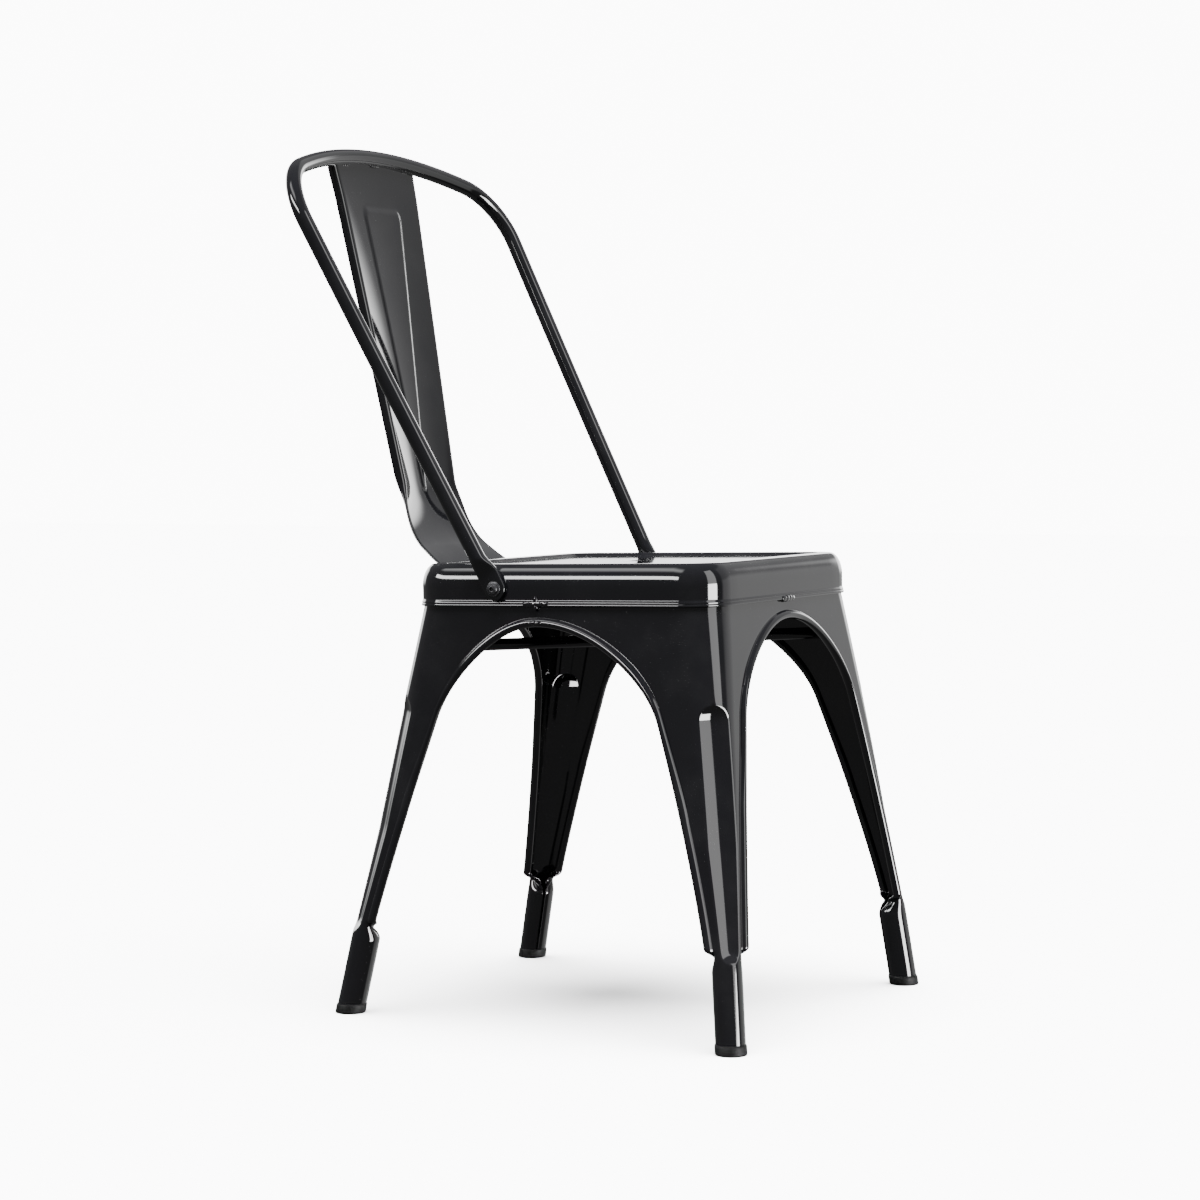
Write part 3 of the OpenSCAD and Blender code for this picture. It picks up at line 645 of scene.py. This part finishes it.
hoop = dict(
    tube=16 * mm,
    lean=radians(28),
    length=495 * mm,
    flare=radians(4.5),
    cornerRadius=64 * mm,
    topSlope=radians(15.5),
    bow=10 * mm,
    boltBack=66 * mm,       # behind the seat's middle
    boltUp=17 * mm,         # above the hem
    paddleWidth=23 * mm,
    paddleThickness=5 * mm,
    flatLength=14 * mm,
    roundAt=34 * mm,
)
boltAt = tilted((0, hoop["boltBack"], hemZ + hoop["boltUp"]), 1)
hoopRadius = hoop["tube"] / 2
skinX = seatWidth / 2 + 0.05 * mm  # the paddle lies on the skirt
sideLowX = skinX + hoopRadius
# each side rises straight to sideHigh, turns through the corner and meets one wide arc on top
topShare = (1 - cos(hoop["topSlope"])) / sin(hoop["topSlope"])
cornerRise = hoop["cornerRadius"] * (sin(hoop["flare"]) + cos(hoop["topSlope"]))
cornerRun = hoop["cornerRadius"] * (cos(hoop["flare"]) - sin(hoop["topSlope"]))
straightX = sideLowX - hoop["roundAt"] * tan(hoop["flare"])
sideHigh = ((hoop["length"] - cornerRise - (straightX - cornerRun) * topShare)
            / (1 + tan(hoop["flare"]) * topShare))
sideHighX = sideLowX + (sideHigh - hoop["roundAt"]) * tan(hoop["flare"])
cornerMid = (sideHighX - hoop["cornerRadius"] * cos(hoop["flare"]),
             sideHigh + hoop["cornerRadius"] * sin(hoop["flare"]))
topRadius = (cornerMid[0] + hoop["cornerRadius"] * sin(hoop["topSlope"])) / sin(hoop["topSlope"])


# a place in the hoop's plane, measured from under the seat's middle
def hoopPlace(x, s):
    bow = hoop["bow"] * s / hoop["length"] * (1 - (x / sideHighX) ** 2)
    return Vector((x, boltAt.y + s * sin(hoop["lean"]) + bow, boltAt.z + s * cos(hoop["lean"])))


# stations up one side: x, distance up the lean, heading, half thickness, half width, squareness
def hoopStations():
    paddleR, flat = hoop["paddleWidth"] / 2, hoop["paddleThickness"] / 2
    flatX, r = skinX + flat, hoopRadius
    stations = []
    for a in (89, 80, 70, 60, 48, 36, 24, 12, 0):
        a = radians(a)
        rim = flat if a < radians(75) else flat * 0.92
        stations.append((flatX, -paddleR * sin(a), 0, rim, paddleR * cos(a) + 0.05 * mm, 5))
    for t in steps(0, 1, 3):
        stations.append((flatX, hoop["flatLength"] * t, 0, flat, paddleR, 5))
    for t in steps(0, 1, 8):
        stations.append((lerp(flatX, sideLowX, ease(t)),
                         lerp(hoop["flatLength"], hoop["roundAt"], t), 0,
                         lerp(flat, r, ease(t)), lerp(paddleR, r, ease(t)), lerp(5, 2, t)))
    # the heading takes up the flare over the first eighth of the straight side
    for t in steps(0, 1, 24):
        stations.append((lerp(sideLowX, sideHighX, t), lerp(hoop["roundAt"], sideHigh, t),
                         -hoop["flare"] * limit(t * 8), r, r, 2))
    for h in steps(-hoop["flare"], pi / 2 - hoop["topSlope"], 26):
        stations.append((cornerMid[0] + hoop["cornerRadius"] * cos(h),
                         cornerMid[1] + hoop["cornerRadius"] * sin(h), h, r, r, 2))
    for h in steps(pi / 2 - hoop["topSlope"], pi / 2, 16):
        stations.append((topRadius * cos(h), hoop["length"] - topRadius * (1 - sin(h)), h, r, r, 2))
    mirrored = [(-x, s, pi - h, n, w, q) for x, s, h, n, w, q in stations[-2::-1]]
    return stations + mirrored


def bulge(value, squareness):
    return (1 if value >= 0 else -1) * abs(value) ** (2 / squareness)


def buildHoop():
    sides = 28
    table = []
    for x, s, heading, half, width, squareness in hoopStations():
        middle = hoopPlace(x, s) + Vector((0, midY, 0))
        row = []
        for i in range(sides + 1):
            a = 2 * pi * i / sides
            n, w = half * bulge(sin(a), squareness), width * bulge(cos(a), squareness)
            lean = hoop["lean"]
            row.append(middle + Vector((n * cos(heading),
                                        n * sin(heading) * sin(lean) + w * cos(lean),
                                        n * sin(heading) * cos(lean) - w * sin(lean))))
        table.append(row)
    bm = bmesh.new()
    laySheet(bm, table)
    bmesh.ops.remove_doubles(bm, verts=bm.verts, dist=2e-6)
    bmesh.ops.holes_fill(bm, edges=[e for e in bm.edges if e.is_boundary], sides=0)
    makePiece("back hoop", bm, paint, ["back_hoop"])
    print("hoop made")


splat = dict(
    topWidth=158 * mm,
    waist=110 * mm,
    footWidth=158 * mm,
    kneeUp=75 * mm,         # above the seat
    lean=radians(9.7),
    sweepRadius=95 * mm,
    hollow=11 * mm,
    flange=8 * mm,
    edgeRadius=5 * mm,
    panelHalf=37 * mm,
    panelStep=1.5 * mm,
    panelDrop=44 * mm,
    panelTip=(4 * mm, 8 * mm),  # half width of the narrow end, and how far below the knee
    panelCorner=11 * mm,
    panelEdge=3.2 * mm,
    lapGap=0.1 * mm,
    lapRadius=10 * mm,
    weldIn=3.5 * mm,        # how far the sheet reaches into the hoop's weld
)
hoopMid = hoopPlace(0, hoop["length"])
splatDrop = hoopRadius + weldGap
splatStart = (hoopMid.y - splatDrop * sin(splat["lean"]),
              hoopMid.z - splatDrop * cos(splat["lean"]))
kneeZ = seatTop + splat["kneeUp"]
knee = (splatStart[0] - (splatStart[1] - kneeZ) * tan(splat["lean"]), kneeZ)
lapY = seatDepth / 2 + splat["lapGap"]
lapLow = hemZ + seat["hemHeight"] + 1.5 * mm
lapHigh = seatTop - seat["rollRadius"] - 10 * mm


def sweepAt(h):
    return (knee[0] - splat["sweepRadius"] * (cos(splat["lean"]) - sin(h)),
            knee[1] - splat["sweepRadius"] * (cos(h) - sin(splat["lean"])))


def lapAt(h):
    return lapY + splat["lapRadius"] * (1 - sin(h)), lapHigh + splat["lapRadius"] * cos(h)


# the angle at which the sweep's end points at the start of the lap
def sweepAngle():
    h = radians(35)
    for attempt in range(6):
        sweep, lap = sweepAt(h), lapAt(h)
        h = atan2(sweep[1] - lap[1], sweep[0] - lap[0])
    return h


# y, z and the angle of the way down below the horizontal
def splatStations():
    low = sweepAngle()
    upright = pi / 2 - splat["lean"]
    inside = -splat["weldIn"] / (splatStart[1] - kneeZ)
    path = [(lerp(splatStart[0], knee[0], t), lerp(splatStart[1], knee[1], t), upright)
            for t in [inside, 0] + steps(0, 1, 110)]
    path += [(*sweepAt(h), h) for h in steps(upright, low, 30)]
    for t in (0.33, 0.66):
        sweep, lap = sweepAt(low), lapAt(low)
        path.append((lerp(sweep[0], lap[0], t), lerp(sweep[1], lap[1], t), low))
    path += [(*lapAt(h), h) for h in [low] + steps(low, pi / 2, 10)]
    path += [(lapY, lerp(lapHigh, lapLow, t), pi / 2) for t in steps(0, 1, 4)]
    return path


def splatWidth(z):
    if z > kneeZ:
        return lerp(splat["waist"], splat["topWidth"], (z - kneeZ) / (splatStart[1] - kneeZ))
    return lerp(splat["waist"], splat["footWidth"], ((kneeZ - z) / (kneeZ - lapLow)) ** 1.5)


def splatHollow(z):
    if z > kneeZ:
        return lerp(splat["hollow"], hoop["bow"] / 4, (z - kneeZ) / (splatStart[1] - kneeZ))
    return splat["hollow"] * (1 - ease((kneeZ - z) / (kneeZ - seatTop - 4 * mm)))


def panelRise(x, z):
    tipHalf, tipDrop = splat["panelTip"]
    top, tip = splatStart[1] - splat["panelDrop"], kneeZ - tipDrop
    if not tip < z < top:
        return 0
    half = lerp(tipHalf, splat["panelHalf"], (z - tip) / (top - tip))
    corner = min(half, splat["panelCorner"])
    # distance inside the panel's rounded outline
    dx = abs(x) - (half - corner)
    dz = max(z - (top - corner), (tip + corner) - z)
    if dx > 0 and dz > 0:
        inside = corner - sqrt(dx * dx + dz * dz)
    else:
        inside = min(half - abs(x), top - z, z - tip)
    return splat["panelStep"] * ease(inside / splat["panelEdge"])


# depth of the turned-back edge; it fades out below the knee and is shallow inside the hoop
def splatFlange(z):
    if z > splatStart[1]:
        return splat["edgeRadius"] + 1 * mm
    return lerp(1.5 * mm, splat["flange"], ease((z - kneeZ + 30 * mm) / (40 * mm)))


# half of the section at a height, from the middle: front face, rounded edge, flange
def splatSection(z):
    half, flange = splatWidth(z) / 2, splatFlange(z)
    rim = min(splat["edgeRadius"], flange * 0.8)
    edge = half - sheetThickness / 2 - rim
    line = [(x, splatHollow(z) * (x / half) ** 2 + panelRise(x, z))
            for x in [0] + steps(0, edge, 34)]
    rise = line[-1][1]
    line += [(edge + rim * sin(a), rise - rim * (1 - cos(a))) for a in steps(0, pi / 2, 6)]
    line += [(edge + rim, rise - depth) for depth in steps(rim, flange, 3)]
    return line


def splatPoint(x, out, y, z, heading):
    out -= sheetThickness / 2
    sag = x * x / (2 * topRadius) * ease((z - splatStart[1] + 40 * mm) / (40 * mm))
    p = Vector((x, y - out * sin(heading), z + out * cos(heading) - sag))
    p = tilted(p, 1).lerp(p, ease((p.z - seatTop) / (50 * mm)))
    return p.x, midY + p.y, p.z


def buildSplat():
    table = []
    for station in splatStations():
        half = splatSection(station[1])
        table.append([splatPoint(-x, out, *station) for x, out in half[::-1]]
                     + [splatPoint(x, out, *station) for x, out in half[1:]])
    bm = bmesh.new()
    laySheet(bm, table)
    makePiece("back splat", bm, paint, ["back_splat"], wall=sheetThickness)
    print("splat made")


braces = dict(rod=12 * mm, drop=42 * mm, padInset=5 * mm, padLength=18 * mm, padWidth=19 * mm,
              padHeight=17 * mm, padCorner=3 * mm)
braceZ = (hemZ - braces["drop"], hemZ - braces["drop"] + braces["rod"] + 0.1 * mm)


def braceEnd(end, z):
    leg = legSizes(end)
    top = z + braces["rod"] / 2
    r = cornerRadius(top) - sheetThickness
    reach = (sqrt(r * r - braces["rod"] ** 2 / 4) - weldGap) * cos(pi / 4) - cornerRadius(top)
    p = tilted((cornerX(leg, top) + reach, cornerY(leg, top) + reach, z), leg["ySide"])
    return Vector((p.x, leg["ySide"] * p.y, p.z))


def rodEnds(xSide, z):
    front, rear = braceEnd("front", z), braceEnd("rear", z)
    return (Vector((xSide * front.x, midY + front.y, front.z)),
            Vector((-xSide * rear.x, midY + rear.y, rear.z)))


def buildBrace(name, xSide, z):
    front, rear = rodEnds(xSide, z)
    length = (rear - front).length
    r = braces["rod"] / 2
    profile = [(0, 0), (r - 1 * mm, 0), (r - 0.3 * mm, 0.3 * mm), (r, 1 * mm)]
    profile += [(r, length * i / 12) for i in range(1, 12)]
    profile += [(r, length - 1 * mm), (r - 0.3 * mm, length - 0.3 * mm), (r - 1 * mm, length),
                (0, length)]
    bm = bmesh.new()
    standOn(turnProfile(bm, profile, 32), front, rear)
    makePiece("brace " + name, bm, paint, ["brace_" + name])


# a ribbed rubber block round the end of a rod
def buildPad(name, start, end):
    width, height, corner = braces["padWidth"], braces["padHeight"], braces["padCorner"]
    columns = outlineColumns(height, width, corner, 6, 4)
    length = braces["padLength"]
    # distance along the rod and how far the outline stands back there
    rows = [(0, 1.2 * mm), (0.6 * mm, 0.35 * mm), (1.6 * mm, 0)]
    for i in range(3):
        at = length * (0.27 + 0.23 * i)
        rows += [(at - 1.1 * mm, 0), (at - 0.7 * mm, 0.5 * mm), (at, 0.8 * mm),
                 (at + 0.7 * mm, 0.5 * mm), (at + 1.1 * mm, 0)]
    rows += [(length - 1.6 * mm, 0), (length - 0.6 * mm, 0.35 * mm), (length, 1.2 * mm)]
    table = []
    for h, inset in rows:
        r = corner - inset
        table.append([(cx + r * cos(a), cy + r * sin(a), h) for cx, cy, a in columns])
    bore = braces["rod"] / 2 + 0.05 * mm
    ring = [Vector((x, y, 0)).normalized() * bore for x, y, h in table[0]]
    table.insert(0, [(p.x, p.y, 0) for p in ring])
    table.append([(p.x, p.y, length) for p in ring])
    table.append(table[0])
    bm = bmesh.new()
    verts = laySheet(bm, table)
    for vert in verts:
        vert.co.z += braces["padInset"]
    way = Vector(end) - Vector(start)
    level = Vector((-way.y, way.x, 0)).normalized()
    way.normalize()
    up = way.cross(level)
    for vert in verts:
        x, y, h = vert.co
        vert.co = Vector(start) + up * x + level * y + way * h
    makePiece("brace pad " + name, bm, padRubber,
              ["brace_pad_" + name.replace(" ", "_")])


fasteners = dict(bolt=6 * mm, washer=15 * mm, washerThickness=1.4 * mm, nut=10 * mm,
                 nutThickness=5 * mm)


# radius of a regular hexagon at an angle, from its radius across the flats
def hexRadius(flatRadius, angle):
    return flatRadius / cos((angle % (pi / 3)) - pi / 6)


def shapeHex(verts, low, high, flatRadius):
    for vert in verts:
        r = sqrt(vert.co.x ** 2 + vert.co.y ** 2)
        if low <= r <= high:
            a = atan2(vert.co.y, vert.co.x)
            wanted = hexRadius(flatRadius, a)
            vert.co.x, vert.co.y = wanted * cos(a), wanted * sin(a)


def buildFasteners(side):
    xSide = signOf(side)
    face = skinX + hoop["paddleThickness"]
    nutFace = seatWidth / 2 - sheetThickness
    y, z = midY + boltAt.y, boltAt.z

    def stand(verts, x):
        standOn(verts, (xSide * x, y, z), (xSide * (x + 1), y, z))

    r = fasteners["washer"] / 2
    bore = fasteners["bolt"] / 2 + 0.3 * mm
    h = fasteners["washerThickness"]
    profile = [(bore, 0.15 * mm), (bore + 0.15 * mm, 0), (r - 0.2 * mm, 0), (r, 0.2 * mm),
               (r, h - 0.45 * mm), (r - 0.15 * mm, h - 0.15 * mm), (r - 0.45 * mm, h),
               (bore + 0.15 * mm, h), (bore, h - 0.15 * mm)]
    bm = bmesh.new()
    stand(turnProfile(bm, profile, 48, loop=True), face)
    makePiece("hoop washer " + side, bm, fastenerBlack, ["hoop_washer_" + side])

    d = fasteners["bolt"]
    head, top = d * 0.9, d * 0.6
    socket = d * 0.30
    tip = nutFace - fasteners["nutThickness"] - 1 * mm
    shank = face + h - tip
    profile = [(0, 0), (d / 2 - 0.6 * mm, 0), (d / 2, 0.6 * mm), (d / 2, shank),
               (head - 0.3 * mm, shank)]
    profile += [(head * cos(a) ** 0.7, shank + 0.3 * mm + (top - 0.3 * mm) * sin(a)) for a in
                [radians(9 * i) for i in range(7)]]
    profile += [(socket + 0.55 * mm, shank + top), (socket + 0.25 * mm, shank + top - 0.1 * mm),
                (socket, shank + top - 0.5 * mm), (socket, shank + top * 0.35),
                (0, shank + top * 0.28)]
    bm = bmesh.new()
    verts = turnProfile(bm, profile, 48)
    shapeHex([v for v in verts if v.co.z > shank + top * 0.3], socket * 0.98, socket * 1.02, socket)
    stand(verts, tip)
    makePiece("hoop bolt " + side, bm, fastenerBlack, ["hoop_bolt_" + side])

    across = fasteners["nut"] / 2
    t = fasteners["nutThickness"]
    inside = d / 2 + 0.05 * mm
    profile = [(inside + 0.4 * mm, 0), (across * 0.97, 0), (across, 0.5 * mm),
               (across, t - 0.5 * mm), (across * 0.97, t), (inside + 0.4 * mm, t),
               (inside, t - 0.4 * mm), (inside, 0.4 * mm)]
    bm = bmesh.new()
    verts = turnProfile(bm, profile, 48, loop=True)
    shapeHex(verts, across * 0.99, across * 1.01, across)
    stand(verts, nutFace - t)
    makePiece("hoop nut " + side, bm, nutSteel, ["hoop_nut_" + side])


welds = dict(length=24 * mm, height=6.5 * mm, stand=2.0 * mm, ripples=4)
seamWelds = dict(welds, height=5 * mm, ripples=3)
smallWelds = dict(welds, height=3 * mm, stand=1.6 * mm, splatPlaces=(-60 * mm, 0, 60 * mm),
                  splatLength=14 * mm, rodLength=10 * mm)


# a row of overlapping ripples from start to end, standing out from the sheet
def layWeld(bm, start, end, out, own):
    start, end, out = Vector(start), Vector(end), Vector(out).normalized()
    way = end - start
    across = way.cross(out).normalized()
    for i in range(own["ripples"]):
        share = (i + 0.5) / own["ripples"]
        fall = 1 - abs(2 * share - 1) ** 3 * 0.45
        made = bmesh.ops.create_icosphere(bm, subdivisions=3, radius=1)["verts"]
        for vert in made:
            x, y, z = vert.co
            wobble = 1 + 0.10 * sin(3.1 * x + 5.3 * y + 1.7 * i) * cos(4.3 * z + i)
            vert.co = (start + way * share
                       + way.normalized() * x * way.length / own["ripples"] * 0.95 * wobble
                       + across * y * own["height"] / 2 * fall * wobble
                       + out * z * own["stand"] * fall * wobble)


def seatPoint(x, y, z):
    p = tilted((x, y, z), 1)
    return Vector((p.x, midY + p.y, p.z))


def buildSkirtWelds():
    bm = bmesh.new()
    half = welds["length"] / 2
    skin = seat["hemOut"] * 0.9
    ridge = cornerX(legSizes("front"), apexZ) + legs["bead"] / 2 - 0.6 * mm
    for xSide in (-1, 1):
        x, y = xSide * (seatWidth / 2 + skin - 0.4 * mm), legs["seam"]
        layWeld(bm, seatPoint(x, y - half, hemZ + 2.5 * mm),
                seatPoint(x, y + half, hemZ + 2.5 * mm), (xSide, 0, 0), welds)
        layWeld(bm, seatPoint(x, y, hemZ + 8 * mm),
                seatPoint(x, y, hemZ - 3 * mm), (xSide, 0, 0), seamWelds)
        layWeld(bm, seatPoint(xSide * ridge, y - 6 * mm, apexZ + 4.5 * mm),
                seatPoint(xSide * ridge, y + 6 * mm, apexZ + 4.5 * mm), (xSide, 0, 0.3),
                seamWelds)
    for ySide in (-1, 1):
        y = ySide * (seatDepth / 2 + skin)
        layWeld(bm, seatPoint(-half, y, hemZ + 0.5 * mm), seatPoint(half, y, hemZ + 0.5 * mm),
                (0, ySide, 0), welds)
    makePiece("skirt welds", bm, paint)


def buildSmallWelds():
    bm = bmesh.new()
    half = smallWelds["splatLength"] / 2
    for x in smallWelds["splatPlaces"]:
        sag = x * x / (2 * topRadius)
        y, z = midY + splatStart[0] - 0.4 * mm, splatStart[1] - sag
        layWeld(bm, (x - half, y, z), (x + half, y, z), (0, 0, 1), smallWelds)
    makePiece("splat welds", bm, paint)
    bm = bmesh.new()
    half = smallWelds["rodLength"] / 2
    for xSide, z in ((1, braceZ[0]), (-1, braceZ[1])):
        front, rear = rodEnds(xSide, z)
        for at, other in ((front, rear), (rear, front)):
            way = (other - at).normalized()
            side = way.cross(Vector((0, 0, 1))).normalized()
            base = at + way * 0.8 * mm - Vector((0, 0, braces["rod"] / 2))
            layWeld(bm, base - side * half, base + side * half, (0, 0, -1), smallWelds)
    makePiece("brace welds", bm, paint)


buildSeat(seat)
for end in ("front", "rear"):
    for side in ("left", "right"):
        buildLeg(end, side)
        buildCap(end, side)
print("legs and feet made")
buildHoop()
buildSplat()
for name, xSide, z in (("lower", 1, braceZ[0]), ("upper", -1, braceZ[1])):
    buildBrace(name, xSide, z)
    front, rear = rodEnds(xSide, z)
    sides = ("left", "right") if xSide == 1 else ("right", "left")
    buildPad("front " + sides[0], front, rear)
    buildPad("rear " + sides[1], rear, front)
for side in ("left", "right"):
    buildFasteners(side)
print("braces and fasteners made")
buildSkirtWelds()
buildSmallWelds()
print("welds made")


studio = dict(
    floorColour=(0.90, 0.90, 0.905),
    ambient=1.5,
    sun=35.0,
    sunSpread=radians(52),
    baseReflection=0.15,
    # how bright, which way round (degrees from +X towards +Y), half width, lowest and
    # highest sine of its height, softness
    panels=[
        (0.75, -27, 36, -0.60, 0.20, 5),    # broad panel that the front of the chair faces
        (0.36, -27, 36, 0.20, 0.70, 5),
        (38.0, -96, 13, -0.30, 0.12, 1.2),  # narrow strip before the chair
        (3.5, -96, 13, 0.12, 0.75, 1.2),
        (4.5, 27, 42, 0.02, 0.30, 6),       # bright wall behind the chair
        (24.0, 143, 26, 0.33, 0.47, 1.5),   # long overhead box on the far side
        (4.0, 143, 30, 0.72, 0.86, 7),
        (1.5, 0, 180, -1.2, -0.45, 10),     # the pale floor, seen from near
    ],
)


def makeFloor():
    bm = bmesh.new()
    bmesh.ops.create_grid(bm, x_segments=8, y_segments=8, size=14)
    mesh = bpy.data.meshes.new("floor")
    bm.to_mesh(mesh)
    bm.free()
    floor = bpy.data.objects.new("floor", mesh)
    bpy.context.scene.collection.objects.link(floor)
    material, bench, place = newMaterial("pale floor")
    cloud = bench.noise(place, 3.0, 3.0)
    shade = studio["floorColour"]
    colour = bench.blend(cloud * 0.3, shade, tuple(0.985 * c for c in shade))
    shader = bench.node("ShaderNodeBsdfPrincipled", None, Base_Color=colour, Roughness=0.9)
    shader.inputs["Specular IOR Level"].default_value = 0.1
    finishMaterial(bench, shader)
    mesh.materials.append(material)
    floor.visible_glossy = False   # the lowest panel stands in for it in the paint
    floor.visible_diffuse = False


def makeSurroundings():
    world = bpy.data.worlds.new("studio")
    bpy.context.scene.world = world
    world.use_nodes = True
    bench = NodeBench(world.node_tree)
    way = bench.node("ShaderNodeTexCoord").outputs["Generated"]
    parts = bench.node("ShaderNodeSeparateXYZ", None, Vector=way)
    x, y, z = (bench.value(parts.outputs[i]) for i in range(3))
    flat = (1 - z * z).root()
    light = studio["baseReflection"]
    for bright, turn, half, low, high, soft in studio["panels"]:
        facing = (x * cos(radians(turn)) + y * sin(radians(turn))) / (flat + 0.0001)
        sides = bench.rise(facing, cos(radians(half + soft)), cos(radians(max(half - soft, 0))))
        blur = soft / 90
        above = bench.rise(z, low - blur, low + blur)
        below = 1 - bench.rise(z, high - blur, high + blur)
        light = light + sides * above * below * bright
    # reflections see the panels, the camera a backdrop as pale as the floor, the rest even light
    paths = bench.node("ShaderNodeLightPath")
    glossy = bench.value(paths.outputs["Is Glossy Ray"])
    seen = bench.value(paths.outputs["Is Camera Ray"])
    backdrop = studio["floorColour"][0] * (studio["ambient"] + studio["sun"] / pi)
    unseen = studio["ambient"]
    strength = glossy * light + (1 - glossy) * (seen * (backdrop - unseen) + unseen)
    shade = bench.node("ShaderNodeBackground", None, Color=(1, 1, 1, 1), Strength=strength)
    bench.node("ShaderNodeOutputWorld", None, Surface=shade.outputs[0])


def makeSun():
    data = bpy.data.lights.new("soft top light", "SUN")
    data.energy = studio["sun"]
    data.angle = studio["sunSpread"]
    sun = bpy.data.objects.new("soft top light", data)
    sun.rotation_euler = (radians(4), radians(-3), 0)
    sun.visible_glossy = False
    bpy.context.scene.collection.objects.link(sun)


camera = dict(
    place=(-2.797, -1.445, 0.580),   # from the point on the floor under the seat's middle
    azimuth=radians(-61.99),
    down=radians(6.33),
    roll=radians(-0.27),
    lens=74.4 * 1.25,
    shift=0.148,
)


def makeCamera(own):
    data = bpy.data.cameras.new("camera")
    data.lens = own["lens"]
    data.sensor_width = 36
    data.shift_y = own["shift"]
    view = bpy.data.objects.new("camera", data)
    bpy.context.scene.collection.objects.link(view)
    x, y, z = own["place"]
    view.location = (x, midY + y, z)
    turn = Euler((pi / 2 - own["down"], 0, own["azimuth"]), "XYZ").to_quaternion()
    spin = Euler((0, 0, own["roll"]), "XYZ").to_quaternion()
    view.rotation_euler = (turn @ spin).to_euler()
    bpy.context.scene.camera = view


makeFloor()
makeSurroundings()
makeSun()
makeCamera(camera)
print("floor, light and camera made")
